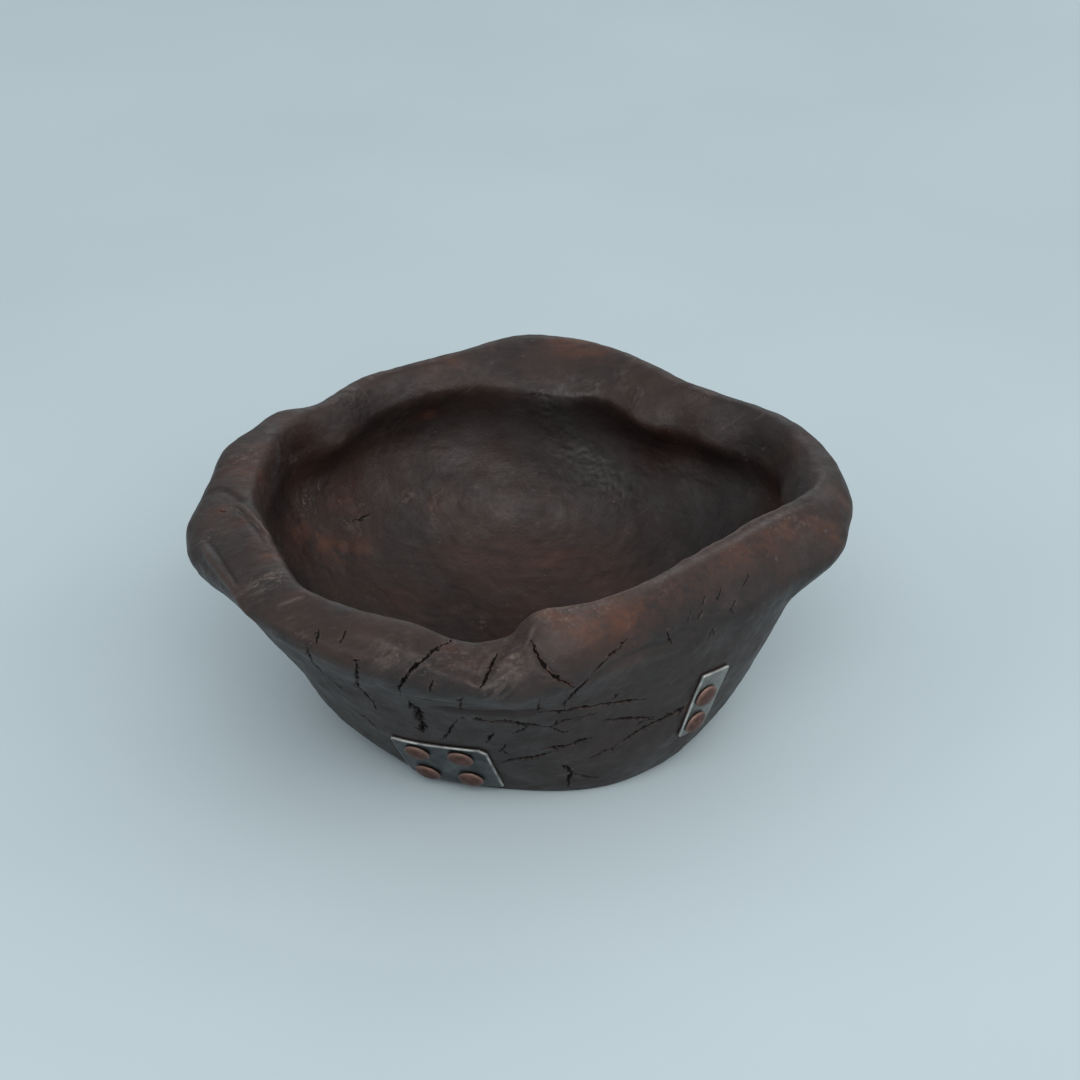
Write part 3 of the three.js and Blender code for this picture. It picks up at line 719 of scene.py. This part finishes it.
def bell(distance, reach):
    """How strongly a mark acts at a distance: 1 on it, fading with its reach."""
    return np.exp(-(distance / reach) ** 2)


def carve_folds(bowl, surface):
    """Folds and creases that the lip's outlines are too coarse for."""
    places, out = points_of(bowl)
    rise = np.zeros(len(places))
    for pixels, reach, height in FOLDS:
        ends = FOLD_FADE * reach
        distance, traits = Lines(surface, [(pixels,)], ends).nearest(places, out)
        near = distance < ends
        rise[near] += (height * traits[:, 0] * bell(distance, reach))[near]
    raise_points(bowl, rise)


def carve_lumps(bowl, surface):
    places, _ = points_of(bowl)
    rise = np.zeros(len(places))
    for pixel, reach, height in LUMPS:
        rise += height * bell(np.linalg.norm(places - thrown(surface, pixel), axis=1), reach * MM)
    raise_points(bowl, rise)


def carve_tool_marks(bowl, patches):
    """Shallow facets and waves that hand carving leaves, none of them proud under a patch."""
    places, _ = points_of(bowl)
    mm = places / MM
    rise = TOOL_MARKS_LIFT
    for height, stretch, long, seed, creased in TOOL_MARKS:
        mark = layered_noise(mm * stretch, long, seed)
        rise = rise + height * (np.abs(mark) if creased else mark)
    covered = np.zeros(len(places))
    for patch in patches:
        covered = np.maximum(covered, patch.cover(places))
    rise = rise * (1 - covered) + np.minimum(rise, -UNDER_PATCH_DROP) * covered
    raise_points(bowl, rise * np.clip(mm[:, 2] / FOOT_PLAIN, 0, 1))


def carve_crinkles(bowl, surface):
    """Puckered zones, like creased leather, and the grey painted on their ridges, partly dusty and
    partly a painted highlight.
    """
    places, out = points_of(bowl)
    mm = places / MM
    bends = [value_noise(mm, PUCKER_BEND_LONG, seed) for seed in PUCKER_BEND_SEEDS]
    bent = mm + PUCKER_BEND * np.stack(bends, axis=1)
    ridges = (1 - np.abs(layered_noise(bent * (0.75, 1, 1), 8, 301))) ** 3
    ripples = (1 - np.abs(value_noise(bent * (0.8, 1, 1), 2.4, 307))) ** 2
    shape = 0.8 * ridges + 0.45 * ripples - 0.75
    rise = np.zeros(len(places))
    for pixels, reach, height in CRINKLES:
        distance, _ = Lines(surface, [(pixels,)], PUCKER_FADE * reach).nearest(places, out)
        rise = np.maximum(rise, bell(distance, reach) * height)
    raise_points(bowl, rise * shape)
    # Grey on the pucker ridges: partly dusty, partly a painted highlight.
    write_layer(bowl, "dust_and_highlight", rise * np.clip(shape + 0.1, 0, 1))


def refine(bowl, lines, reach):
    distance, _ = lines.nearest(*points_of(bowl))
    wanted = distance < reach
    work = bmesh.new()
    work.from_mesh(bowl.data)
    work.verts.ensure_lookup_table()
    faces = [f for f in work.faces if len(f.verts) == 4 and any(wanted[v.index] for v in f.verts)]
    edges = list({e for f in faces for e in f.edges})
    bmesh.ops.subdivide_edges(work, edges=edges, cuts=1, use_grid_fill=True)
    work.to_mesh(bowl.data)
    work.free()
    bowl.data.update()


def with_spurs(cracks):
    """The cracks, with the short side splits that open along them."""
    grown = list(cracks)
    for seed, (pixels, width, depth, raw) in enumerate(cracks):
        line = np.array(pixels, float)
        for k, (a, b) in enumerate(zip(line[:-1], line[1:])):
            if (seed + k) % 3 == 0:
                continue
            side = 1 if (seed + k) % 2 else -1
            turn = side * math.radians(SPUR_TURN + (seed * 37 + k * 61) % SPUR_TURN_RANGE)
            ahead = (b - a) / np.linalg.norm(b - a)
            away = np.array((
                ahead[0] * math.cos(turn) - ahead[1] * math.sin(turn),
                ahead[0] * math.sin(turn) + ahead[1] * math.cos(turn)))
            root = a + (b - a) * ((seed * 29 + k * 43) % 60) / 100
            long = SPUR_LONG * (0.6 + (seed * 17 + k * 31) % 10 / 10)
            spur = [tuple(root), tuple(root + away * long)]
            grown.append((spur, width * SPUR_SHARE, depth * SPUR_SHARE, raw))
    return grown


def carve_cracks(bowl, cracks, scratches):
    places, out = points_of(bowl)
    mm = places / MM
    distance, traits = cracks.nearest(places, out)
    end, width, depth, raw = traits.T
    uneven = np.clip(1 + 0.8 * layered_noise(mm, 2.6, 211), 0.35, 1.7)
    half = np.maximum(CRACK_LEAST_HALF, width * end * uneven * 0.5)
    inside = np.clip(1.6 - distance / half, 0, 1)
    inside = inside * inside * (3 - 2 * inside)
    beside = bell(distance - half - CHIP_AWAY, CHIP_WIDE) * end
    chipped = beside * np.clip(3 * value_noise(mm, 1.6, 223) - 0.3, 0, 1) * (1 - inside)
    drop = inside * depth * np.sqrt(end) * np.clip(uneven, 0.5, 1.3) + CHIP_DEPTH * chipped
    near_scratch, traits = scratches.nearest(places, out)
    scratch_end, scratch_width, scratch_depth = traits.T
    broken = np.clip(0.9 + 1.2 * value_noise(mm, 3.0, 229), 0, 1)
    scraped = np.clip(1.3 - near_scratch / (scratch_width * 0.5), 0, 1) * scratch_end * broken
    raise_points(bowl, -(drop + scraped * scratch_depth))
    # Painted shade: the crack layer also makes the crack's inside near-black.
    write_layer(bowl, "crack", inside)
    write_layer(bowl, "chip", chipped)
    write_layer(bowl, "raw", 0.75 * raw * bell(distance, 0.5) * end)
    write_layer(bowl, "scrape", scraped)


def curvature(piece):
    """How sharply the surface bulges at each point, per mm. Below nought it is hollow."""
    places, out = points_of(piece)
    places = places / MM
    ends = np.empty(len(piece.data.edges) * 2, np.int32)
    piece.data.edges.foreach_get("vertices", ends)
    a, b = ends.reshape(-1, 2).T
    gap = places[b] - places[a]
    square = np.maximum((gap ** 2).sum(1), TINY)
    count = len(places)
    bulge = np.bincount(a, -2 * (gap * out[a]).sum(1) / square, count)
    bulge += np.bincount(b, 2 * (gap * out[b]).sum(1) / square, count)
    links = np.bincount(a, minlength=count) + np.bincount(b, minlength=count)
    bulge /= np.maximum(links, 1)
    for _ in range(CURVATURE_BLURS):
        total = bulge + np.bincount(a, bulge[b], count) + np.bincount(b, bulge[a], count)
        bulge = total / (links + 1)
    return bulge


def spot_weights(surface, places, spots):
    total = np.zeros(len(places))
    for pixel, reach, strength in spots:
        far = np.linalg.norm(places - thrown(surface, pixel), axis=1)
        total += strength * bell(far, reach * MM)
    return np.clip(total, 0, 1.2)


def crest_highlight_weights(surface, places, out):
    total = np.zeros(len(places))
    for pixels, half, strength in CREST_HIGHLIGHTS:
        distance, traits = Lines(surface, [(pixels,)], 3 * half).nearest(places, out)
        total = np.maximum(total, strength * traits[:, 0] * bell(distance, half))
    return total


def outside_weights(places, out):
    """How far each point is on the outer wall, below the lip."""
    radial = places[:, :2] / np.maximum(np.linalg.norm(places[:, :2], axis=1), TINY)[:, None]
    facing = np.clip((out[:, :2] * radial).sum(1) * 3, 0, 1)
    below = np.clip((RIM_HEIGHT - HOLLOW_DROP - places[:, 2] / MM) / 12 + 0.5, 0, 1)
    return facing * below


def carve_bowl(bowl, surface, patches):
    """Carves the lofted bowl, and writes the layers that its material reads."""
    refine(bowl, Lines(surface, [(fold[0],) for fold in FOLDS], 6), 5)
    refine(bowl, Lines(surface, [(crinkle[0],) for crinkle in CRINKLES], 12), 11)
    carve_folds(bowl, surface)
    carve_lumps(bowl, surface)
    carve_tool_marks(bowl, patches)
    carve_crinkles(bowl, surface)
    surface = surface_of(bowl)
    cracks = Lines(surface, with_spurs(CRACKS), 4, jag=0.9)
    scratches = Lines(surface, SCRATCHES, 2, jag=0.3)
    for lines, reach in ((cracks, 2.4), (cracks, 1.5), (cracks, 1.0), (scratches, 1.0)):
        refine(bowl, lines, reach)
    bulge = curvature(bowl)
    write_layer(bowl, "ridge", np.clip((bulge - FLAT_ENOUGH) / BULGE_RANGE, 0, 1))
    # Painted shade: the hollows are darkened where shade falls, partly dark wax.
    write_layer(bowl, "hollow", np.clip((-bulge - FLAT_ENOUGH) / BULGE_RANGE, 0, 1))
    carve_cracks(bowl, cracks, scratches)
    places, out = points_of(bowl)
    write_layer(bowl, "wear", spot_weights(surface, places, WEAR))
    # Painted sheen on the back of the hollow.
    write_layer(bowl, "painted_sheen", np.minimum(spot_weights(surface, places, PAINTED_SHEEN), 0.9))
    # Light chipped flecks, and painted highlight streaks on the knife facets.
    write_layer(bowl, "chips_and_highlight_streaks", 0.45 * spot_weights(surface, places, CHIPS_AND_HIGHLIGHT_STREAKS))
    write_layer(bowl, "outside", outside_weights(places, out))
    # Painted highlights along the crests.
    write_layer(bowl, "crest_highlight", crest_highlight_weights(surface, places, out))
    inset = np.array((BOX_INSET, BOX_INSET, 0))
    move_points(bowl, np.clip(places, np.array(CAD_LOW) + inset, np.array(CAD_HIGH) - BOX_INSET))


def node(tree, kind, **settings):
    made = tree.nodes.new(kind)
    for name, value in settings.items():
        setattr(made, name, value)
    return made


def new_material(name):
    """A material, its tree, its shader, and the place on the piece that is being shaded."""
    made = bpy.data.materials.new(name)
    made.use_nodes = True
    tree = made.node_tree
    where = node(tree, "ShaderNodeTexCoord").outputs["Object"]
    return made, tree, tree.nodes["Principled BSDF"], where


def plug(tree, socket, given):
    """Sets a socket to a number or a colour, or links an output to it."""
    if isinstance(given, (int, float)):
        socket.default_value = given
    elif isinstance(given, tuple):
        socket.default_value = given + (1,)
    else:
        tree.links.new(given, socket)


def noise(tree, vector, scale, detail, roughness, distortion=0.0):
    made = node(tree, "ShaderNodeTexNoise")
    made.inputs["Scale"].default_value = scale
    made.inputs["Detail"].default_value = detail
    made.inputs["Roughness"].default_value = roughness
    made.inputs["Distortion"].default_value = distortion
    tree.links.new(vector, made.inputs["Vector"])
    return made.outputs["Fac"]


def mapped(tree, vector, name, value):
    made = node(tree, "ShaderNodeMapping")
    made.inputs[name].default_value = value
    tree.links.new(vector, made.inputs["Vector"])
    return made.outputs["Vector"]


def ramp(tree, value, *stops):
    made = node(tree, "ShaderNodeValToRGB")
    elements = made.color_ramp.elements
    while len(elements) > 1:
        elements.remove(elements[-1])
    for index, (at, colour) in enumerate(stops):
        element = elements[0] if index == 0 else elements.new(at)
        element.position = at
        element.color = colour + (1,)
    tree.links.new(value, made.inputs["Fac"])
    return made.outputs["Color"]


def fade(tree, value, low, dark, high, light):
    """Goes from dark, where the value is low, to light where it is high."""
    return ramp(tree, value, (low, (dark,) * 3), (high, (light,) * 3))


def mixed(tree, factor, a, b, blend="MIX"):
    made = node(tree, "ShaderNodeMix", data_type="RGBA", blend_type=blend)
    for index, given in ((0, factor), (6, a), (7, b)):
        plug(tree, made.inputs[index], given)
    return made.outputs[2]


def figure(tree, operation, a, b):
    made = node(tree, "ShaderNodeMath", operation=operation, use_clamp=True)
    for index, given in ((0, a), (1, b)):
        plug(tree, made.inputs[index], given)
    return made.outputs[0]


def layer(tree, name):
    return node(tree, "ShaderNodeAttribute", attribute_name=name).outputs["Fac"]


def share_of(tree, name, much):
    """One of the mesh's layers, times a number or another output."""
    return figure(tree, "MULTIPLY", layer(tree, name), much)


def finish_shader(tree, shader, colour, coats, roughness, bumps):
    """Lays coats, (share, tone), over a colour, and adds bumps, (height, strength, metres)."""
    for share, tone in coats:
        colour = mixed(tree, share, colour, tone)
    tree.links.new(colour, shader.inputs["Base Color"])
    tree.links.new(roughness, shader.inputs["Roughness"])
    normal = None
    for height, strength, distance in bumps:
        made = node(tree, "ShaderNodeBump")
        made.inputs["Strength"].default_value = strength
        made.inputs["Distance"].default_value = distance
        tree.links.new(height, made.inputs["Height"])
        if normal is not None:
            tree.links.new(normal, made.inputs["Normal"])
        normal = made.outputs["Normal"]
    tree.links.new(normal, shader.inputs["Normal"])


def wood_material():
    """Dark stain, and what is rubbed, worn or broken into it; with painted shade in the hollows and
    cracks, and painted highlights and sheen on crests, puckers, knife facets and the back of the
    hollow.
    """
    made, tree, shader, where = new_material("stained_wood")
    broad = noise(tree, where, 14, 5, 0.6, 0.3)
    streaks = noise(tree, mapped(tree, where, "Scale", (9, 60, 60)), 5, 6, 0.65, 0.4)
    blotch = noise(tree, where, 60, 6, 0.7)
    mottle = noise(tree, where, 210, 5, 0.65)
    leant = mapped(tree, where, "Rotation", (0, STROKE_LEAN, 0))
    strokes = noise(tree, mapped(tree, leant, "Scale", (26, 330, 330)), 1, 5, 0.6)
    level = noise(tree, mapped(tree, where, "Scale", (14, 240, 300)), 1, 5, 0.65)
    reddish = noise(tree, mapped(tree, where, "Scale", (20, 30, 30)), 1, 6, 0.65)
    patchy = noise(tree, mapped(tree, where, "Scale", (38, 150, 150)), 1, 7, 0.75)
    speckle = noise(tree, where, 620, 3, 0.6)
    smears = fade(tree, noise(tree, where, 34, 3, 0.5), 0.42, 0, 0.62, 0.42)
    scattered = fade(tree, noise(tree, where, 50, 3, 0.6), 0.52, 0, 0.66, 0.7)

    colour = ramp(
        tree, broad, (0.30, (0.0108, 0.0071, 0.0064)), (0.5, (0.0172, 0.0105, 0.0092)),
        (0.72, (0.0255, 0.0145, 0.0118)))
    outer = ramp(tree, streaks, (0.3, (0.0116, 0.0071, 0.0061)), (0.7, (0.0232, 0.0140, 0.0119)))
    for value, dark, light in (
            (streaks, 0.80, 1.18), (blotch, 0.68, 1.36), (mottle, 0.88, 1.14), (level, 0.88, 1.14)):
        shade = fade(tree, value, 0.34, dark, 0.66, light)
        colour = mixed(tree, 1.0, colour, shade, "MULTIPLY")

    crack = layer(tree, "crack")
    gloss = fade(tree, noise(tree, where, 70, 6, 0.7), 0.3, 0.39, 0.7, 0.70)
    shader.inputs["Specular IOR Level"].default_value = 0.42
    finish_shader(tree, shader, colour, [
        (fade(tree, reddish, 0.46, 0, 0.66, 0.6), (0.0360, 0.0150, 0.0100)),
        (share_of(tree, "outside", 0.7), outer),
        (share_of(tree, "wear", fade(tree, patchy, 0.38, 0.05, 0.62, 0.95)),
         (0.078, 0.0255, 0.0125)),
        # Painted highlight along the crests.
        (share_of(tree, "crest_highlight", fade(tree, mottle, 0.35, 0.35, 0.6, 0.8)), (0.078, 0.062, 0.058)),
        (share_of(tree, "ridge", 0.55), (0.085, 0.050, 0.040)),
        # Painted shade in the hollows, partly dark wax.
        (share_of(tree, "hollow", 0.7), (0.006, 0.0045, 0.004)),
        # Painted sheen: a lighter grey where light falls on the back of the hollow.
        (share_of(tree, "painted_sheen", fade(tree, blotch, 0.35, 0.55, 0.62, 1)), (0.043, 0.037, 0.037)),
        (figure(tree, "MULTIPLY", fade(tree, strokes, 0.62, 0, 0.70, 1), smears),
         (0.105, 0.082, 0.072)),
        (figure(tree, "MULTIPLY", fade(tree, speckle, 0.68, 0, 0.74, 1), scattered),
         (0.20, 0.160, 0.140)),
        # Light flecks where the wood is chipped, then painted highlight streaks along the knife
        # strokes.
        (share_of(tree, "chips_and_highlight_streaks", fade(tree, speckle, 0.60, 0, 0.66, 1)), (0.22, 0.165, 0.140)),
        (share_of(tree, "chips_and_highlight_streaks", fade(tree, strokes, 0.50, 0, 0.60, 0.9)), (0.13, 0.098, 0.085)),
        # Grey on the pucker ridges, partly dusty and partly a painted highlight.
        (share_of(tree, "dust_and_highlight", 0.6), (0.100, 0.090, 0.092)),
        (layer(tree, "raw"), (0.15, 0.038, 0.020)),
        (share_of(tree, "scrape", 0.45), (0.16, 0.13, 0.115)),
        (share_of(tree, "chip", 0.22), (0.13, 0.085, 0.062)),
        # Painted shade: the inside of each crack is painted near-black.
        (figure(tree, "POWER", crack, 0.7), (0.0015, 0.0012, 0.0011)),
    ], mixed(tree, crack, gloss, (0.95,) * 3), [
        (mottle, 0.25, 0.0008),
        (blotch, 0.35, 0.0020),
        (strokes, 0.2, 0.0006),
        (level, 0.2, 0.0006),
        (noise(tree, where, 1100, 3, 0.7), 0.25, 0.00022),
    ])
    return made


def steel_material():
    made, tree, shader, where = new_material("patch_metal")
    cloud = noise(tree, where, 90, 6, 0.68)
    colour = ramp(
        tree, cloud, (0.32, (0.030, 0.034, 0.038)), (0.52, (0.060, 0.067, 0.072)),
        (0.72, (0.12, 0.13, 0.13)))
    # The lighter tone of the painted reflection on a plate's face.
    bright = ramp(tree, cloud, (0.35, (0.14, 0.14, 0.135)), (0.6, (0.40, 0.40, 0.38)))
    rust = fade(tree, noise(tree, where, 170, 5, 0.7), 0.58, 0, 0.72, 0.6)
    gloss = fade(tree, noise(tree, where, 140, 5, 0.7), 0.3, 0.36, 0.7, 0.60)
    shader.inputs["Metallic"].default_value = 0.9
    finish_shader(tree, shader, colour, [
        (rust, (0.085, 0.055, 0.040)),
        # Painted reflection: each plate's face is lightened by its share, the side plate most.
        (layer(tree, "rubbed"), bright),
        (share_of(tree, "edge", 0.95), (0.62, 0.61, 0.58)),
    ], gloss, [(cloud, 0.4, 0.0006), (noise(tree, where, 420, 5, 0.7), 0.35, 0.00025)])
    return made


def copper_material():
    made, tree, shader, where = new_material("rivet_copper")
    cloud = noise(tree, where, 240, 5, 0.65)
    colour = ramp(
        tree, cloud, (0.32, (0.062, 0.030, 0.024)), (0.52, (0.115, 0.056, 0.045)),
        (0.72, (0.185, 0.100, 0.082)))
    gloss = fade(tree, noise(tree, where, 320, 5, 0.7), 0.3, 0.40, 0.7, 0.62)
    shader.inputs["Metallic"].default_value = 0.75
    finish_shader(tree, shader, colour, [
        (share_of(tree, "edge", 0.55), (0.32, 0.21, 0.175)),
    ], gloss, [(cloud, 0.5, 0.0005), (noise(tree, where, 700, 4, 0.7), 0.4, 0.0002)])
    return made


def wall_frame(surface, origin, inward, reach, tilt):
    """A frame on the wall: Z leaves the wood, and X runs level before it is turned by tilt."""
    across = inward.cross(UP).normalized()
    along = across.cross(inward)

    def meet(x, y):
        return surface.ray_cast(origin + across * x + along * y, inward)[0]

    span = meet(reach, 0) - meet(-reach, 0)
    rise = meet(0, reach) - meet(0, -reach)
    outward = span.cross(rise).normalized()
    x = UP.cross(outward).normalized()
    x.rotate(Matrix.Rotation(math.radians(tilt), 3, outward))
    made = Matrix((x, outward.cross(x), outward)).transposed().to_4x4()
    made.translation = meet(0, 0)
    return made


def rounded(gap, radius):
    """How far a round corner draws in its edge, at a gap from the corner's end."""
    return radius - math.sqrt(max(0, radius ** 2 - (radius - gap) ** 2)) if gap < radius else 0


class Patch:
    """A sheet metal patch beaten to the wall, and its rivets, in the patch's own frame."""

    def __init__(self, surface, name, angle, height, tilt, reach, wide, tall, clip, rubbed, rivets):
        # rubbed is the share of painted reflection that lightens the plate's face.
        self.surface, self.name, self.rubbed, self.rivets = surface, name, rubbed, rivets
        self.wide, self.tall, self.clip = wide, tall, clip
        turn = math.radians(angle)
        outward = Vector((math.cos(turn), math.sin(turn), 0))
        origin = outward * 2 * FOOT_RADIUS * MM
        origin.z = height * MM
        self.frame = wall_frame(surface, origin, -outward, reach * MM, tilt)
        self.outward = self.frame.col[2].to_3d()

    def cover(self, places):
        """How far each point lies under the patch, from 0 outside it to 1."""
        local = np.c_[places, np.ones(len(places))] @ np.array(self.frame.inverted()).T / MM
        past = np.maximum(np.abs(local[:, 0]) - self.wide / 2, np.abs(local[:, 1]) - self.tall / 2)
        return np.clip(1 - (past - 0.5) / 4, 0, 1) * (np.abs(local[:, 2]) < 2 * WALL_THICKNESS)

    def before(self, x, y):
        """A place well in front of the patch."""
        return self.frame @ Vector((x * MM, y * MM, 2 * RIVET_HEAD_RADIUS * MM))

    def on_wall(self, x, y):
        return self.surface.ray_cast(self.before(x, y), -self.outward)[0]

    def sides(self, y):
        """The outline's left and right edge at a height."""
        top, right = self.tall / 2, self.wide / 2
        left = -right + rounded(min(y + top, top - y), PLATE_CORNER)
        right -= rounded(y + top, PLATE_CORNER)
        if self.clip > PLATE_CORNER:
            right -= max(0, self.clip - (top - y))
        else:
            right -= rounded(top - y, PLATE_CORNER)
        return left, right

    def from_edge(self, share, x, y):
        """How far a point is from the sheet's edge. Its share is how far across the sheet it is."""
        near = min(
            share * self.wide, (1 - share) * self.wide, y + self.tall / 2, self.tall / 2 - y)
        if self.clip > PLATE_CORNER:
            over = self.clip - (self.tall / 2 - y) - (self.wide / 2 - x)
            near = min(near, max(0, -over / math.sqrt(2)))
        return near

    def lift(self, near, x, y, spot):
        """How high the sheet's front stands: worn down at its edge, dented, dipped at rivets."""
        lift = PLATE_THICKNESS - PLATE_ROUND * (1 - min(near / PLATE_ROUND_WIDE, 1)) ** 2
        lift += PLATE_BURR * bell(near - PLATE_BURR_IN, PLATE_BURR_WIDE)
        dent = float(PLATE_DENT * layered_noise(spot, PLATE_DENT_LONG, 401)[0])
        lift += dent * min(1, near / 2)
        for rivet_x, rivet_y in self.rivets:
            lift -= PLATE_DIP * bell(math.hypot(x - rivet_x, y - rivet_y), RIVET_HEAD_RADIUS)
        return lift

    def plate(self, look):
        """The sheet, as a grid over the outline, closer at the edges."""

        def spread(long):
            count = max(4, int(long / PLATE_PITCH))
            middle = np.linspace(PLATE_EDGE_BAND, long - PLATE_EDGE_BAND, count)
            lines = np.array(PLATE_EDGE_LINES)
            return np.concatenate([lines, middle, long - lines[::-1]])

        xs, ys = spread(self.wide) / self.wide, spread(self.tall) - self.tall / 2
        front, back, edge = [], [], []
        for y in ys:
            left, right = self.sides(y)
            for share in xs:
                x = left + (right - left) * share
                near = self.from_edge(share, x, y)
                wall = self.on_wall(x, y)
                spot = np.array([wall]) / MM
                lift = self.lift(near, x, y, spot)
                front.append(wall + self.outward * (PLATE_GAP + lift) * MM)
                back.append(wall + self.outward * PLATE_GAP * MM)
                wear = 0.75 + 0.5 * float(value_noise(spot, 3, 409)[0])
                edge.append(wear * bell(near, PLATE_WORN_WIDE))
        wide, tall = len(xs), len(ys)
        faces = []
        for j in range(tall - 1):
            for i in range(wide - 1):
                at = j * wide + i
                faces.append((at, at + 1, at + wide + 1, at + wide))
                under = at + wide * tall
                faces.append((under + wide, under + wide + 1, under + 1, under))
        rim = list(range(wide)) + [j * wide + wide - 1 for j in range(1, tall)]
        rim += [(tall - 1) * wide + i for i in range(wide - 2, -1, -1)]
        rim += [j * wide for j in range(tall - 2, 0, -1)]
        for a, b in zip(rim, rim[1:] + rim[:1]):
            faces.append((b, a, a + wide * tall, b + wide * tall))
        piece = mesh_object(self.name, front + back, faces, look)
        write_layer(piece, "edge", edge + [0.5] * len(back))
        # The plate's share of painted reflection on its face.
        write_layer(piece, "rubbed", [self.rubbed] * len(piece.data.vertices))
        return piece

    def rivet(self, name, index, look):
        """A hammered copper head on its pointed shank, square to the wood."""
        origin = self.before(*self.rivets[index])
        stand = wall_frame(self.surface, origin, -self.outward, RIVET_HEAD_RADIUS * MM, 0)
        stack = PLATE_GAP + PLATE_THICKNESS + RIVET_SEAT
        stand.translation += self.outward * stack * MM
        bottom = -(stack + WALL_THICKNESS - RIVET_COVER)
        rim, edge = RIVET_HEAD_RADIUS, RIVET_HEAD_EDGE
        profile = [
            (RIVET_SHANK_RADIUS, bottom + RIVET_POINT), (RIVET_SHANK_RADIUS, 0),
            (rim - RIVET_LIP, 0), (rim, RIVET_LIP_RISE), (rim, edge)]
        for share in RIVET_DOME:
            rise = RIVET_HEAD_RISE * (1 - share * share) ** RIVET_DOME_POWER
            profile.append((rim * share, edge + rise))
        vertices, worn = [Vector((0, 0, bottom))], [0.0]
        for radius, height in profile:
            for k in range(RIVET_STEPS):
                turn = 2 * math.pi * k / RIVET_STEPS
                x, y = radius * math.cos(turn), radius * math.sin(turn)
                spot = np.array([[x, y, 9.0 * index]])
                uneven = float(value_noise(spot / max(radius, 1) * 6, 6, 431 + index)[0])
                wobble = 1 + RIVET_UNEVEN * uneven
                dent = abs(float(layered_noise(spot, RIVET_DENT_LONG, 443 + index)[0]))
                dent *= -RIVET_DENT * (height > edge)
                vertices.append(Vector((x * wobble, y * wobble, height + dent)))
                worn.append(bell(radius - rim, RIVET_WORN_WIDE) * (height > 0))
        vertices.append(Vector((0, 0, edge + RIVET_HEAD_RISE)))
        worn.append(0.0)
        faces = []
        last, top = 1 + (len(profile) - 1) * RIVET_STEPS, len(vertices) - 1
        for k in range(RIVET_STEPS):
            following = (k + 1) % RIVET_STEPS
            faces.append((0, 1 + following, 1 + k))
            for low in range(1, last, RIVET_STEPS):
                high = low + RIVET_STEPS
                faces.append((low + k, low + following, high + following, high + k))
            faces.append((last + k, last + following, top))
        piece = mesh_object(name, [stand @ (vertex * MM) for vertex in vertices], faces, look)
        write_layer(piece, "edge", worn)
        return piece


def make_patches(surface):
    column = FRONT_RIVET_LEFT - FRONT_PLATE_WIDE / 2
    row = FRONT_RIVET_BOTTOM - FRONT_PLATE_TALL / 2
    right, top = column + FRONT_RIVET_ACROSS, row + FRONT_RIVET_UP
    front = Patch(
        surface, "front_patch", FRONT_PLATE_ANGLE, FRONT_PLATE_HEIGHT, FRONT_PLATE_TILT,
        FRONT_PLATE_TALL / 3, FRONT_PLATE_WIDE, FRONT_PLATE_TALL, FRONT_PLATE_CLIP,
        FRONT_PLATE_REFLECTION, [(column, top), (right, top), (column, row), (right, row)])
    column = SIDE_RIVET_LEFT - SIDE_PLATE_WIDE / 2
    row = SIDE_RIVET_BOTTOM - SIDE_PLATE_TALL / 2
    side = Patch(
        surface, "side_patch", SIDE_PLATE_ANGLE, SIDE_PLATE_HEIGHT, SIDE_PLATE_TILT,
        SIDE_PLATE_WIDE / 2, SIDE_PLATE_WIDE, SIDE_PLATE_TALL, PLATE_CORNER,
        SIDE_PLATE_REFLECTION, [(column, row + SIDE_RIVET_UP), (column, row)])
    return [front, side]


def build_camera():
    data = bpy.data.cameras.new("camera")
    data.sensor_width = SENSOR_WIDE
    data.lens = CAMERA_FOCUS / PHOTO_SIDE * SENSOR_WIDE
    data.clip_start, data.clip_end = CLIP_NEAR, CLIP_FAR
    camera = bpy.data.objects.new("camera", data)
    camera.location = CAMERA_PLACE
    camera.rotation_euler = (math.pi / 2 - CAMERA_DOWN, 0, 0)
    bpy.context.scene.collection.objects.link(camera)
    bpy.context.scene.camera = camera


def area_light(name, place, aim, size, power, colour, on_matt):
    data = bpy.data.lights.new(name, "AREA")
    data.shape = "RECTANGLE"
    data.size, data.size_y = size
    data.energy = power
    data.color = colour
    light = bpy.data.objects.new(name, data)
    light.location = place
    light.rotation_euler = (Vector(aim) - Vector(place)).to_track_quat("-Z", "Y").to_euler()
    light.visible_diffuse = on_matt
    bpy.context.scene.collection.objects.link(light)


def floor_material():
    made, tree, shader, where = new_material("floor_cloth")
    cloud = noise(tree, where, 3, 3, 0.5)
    colour = ramp(tree, cloud, (0.3, (0.50, 0.60, 0.64)), (0.7, (0.54, 0.64, 0.68)))
    tree.links.new(colour, shader.inputs["Base Color"])
    shader.inputs["Roughness"].default_value = 0.9
    shader.inputs["Specular IOR Level"].default_value = 0.2
    return made


def build_stage():
    half = FLOOR_HALF
    corners = [(-half, -half, 0), (half, -half, 0), (half, half, 0), (-half, half, 0)]
    floor = mesh_object("floor", corners, [(0, 1, 2, 3)], floor_material())
    world = bpy.data.worlds.new("studio")
    world.use_nodes = True
    background = world.node_tree.nodes["Background"]
    background.inputs["Color"].default_value = WORLD_COLOUR + (1,)
    background.inputs["Strength"].default_value = WORLD_STRENGTH
    bpy.context.scene.world = world
    for light in LIGHTS:
        area_light(*light)
    bpy.context.scene.view_settings.view_transform = "Standard"


def dress(piece, replaced):
    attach(piece, "root")
    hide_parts(replaced)


wood = wood_material()
steel = steel_material()
copper = copper_material()

bowl = loft_bowl(wood)
plain = surface_of(bowl)
patches = make_patches(plain)
carve_bowl(bowl, plain, patches)
dress(bowl, "bowl_body")
for patch, side in zip(patches, ("front", "side")):
    dress(patch.plate(steel), side + "_patch_plate")
    for index in range(len(patch.rivets)):
        rivet = patch.rivet(f"{side}_rivet_head_{index + 1}", index, copper)
        dress(rivet, f"{side}_rivet_{index + 1}")

build_camera()
build_stage()
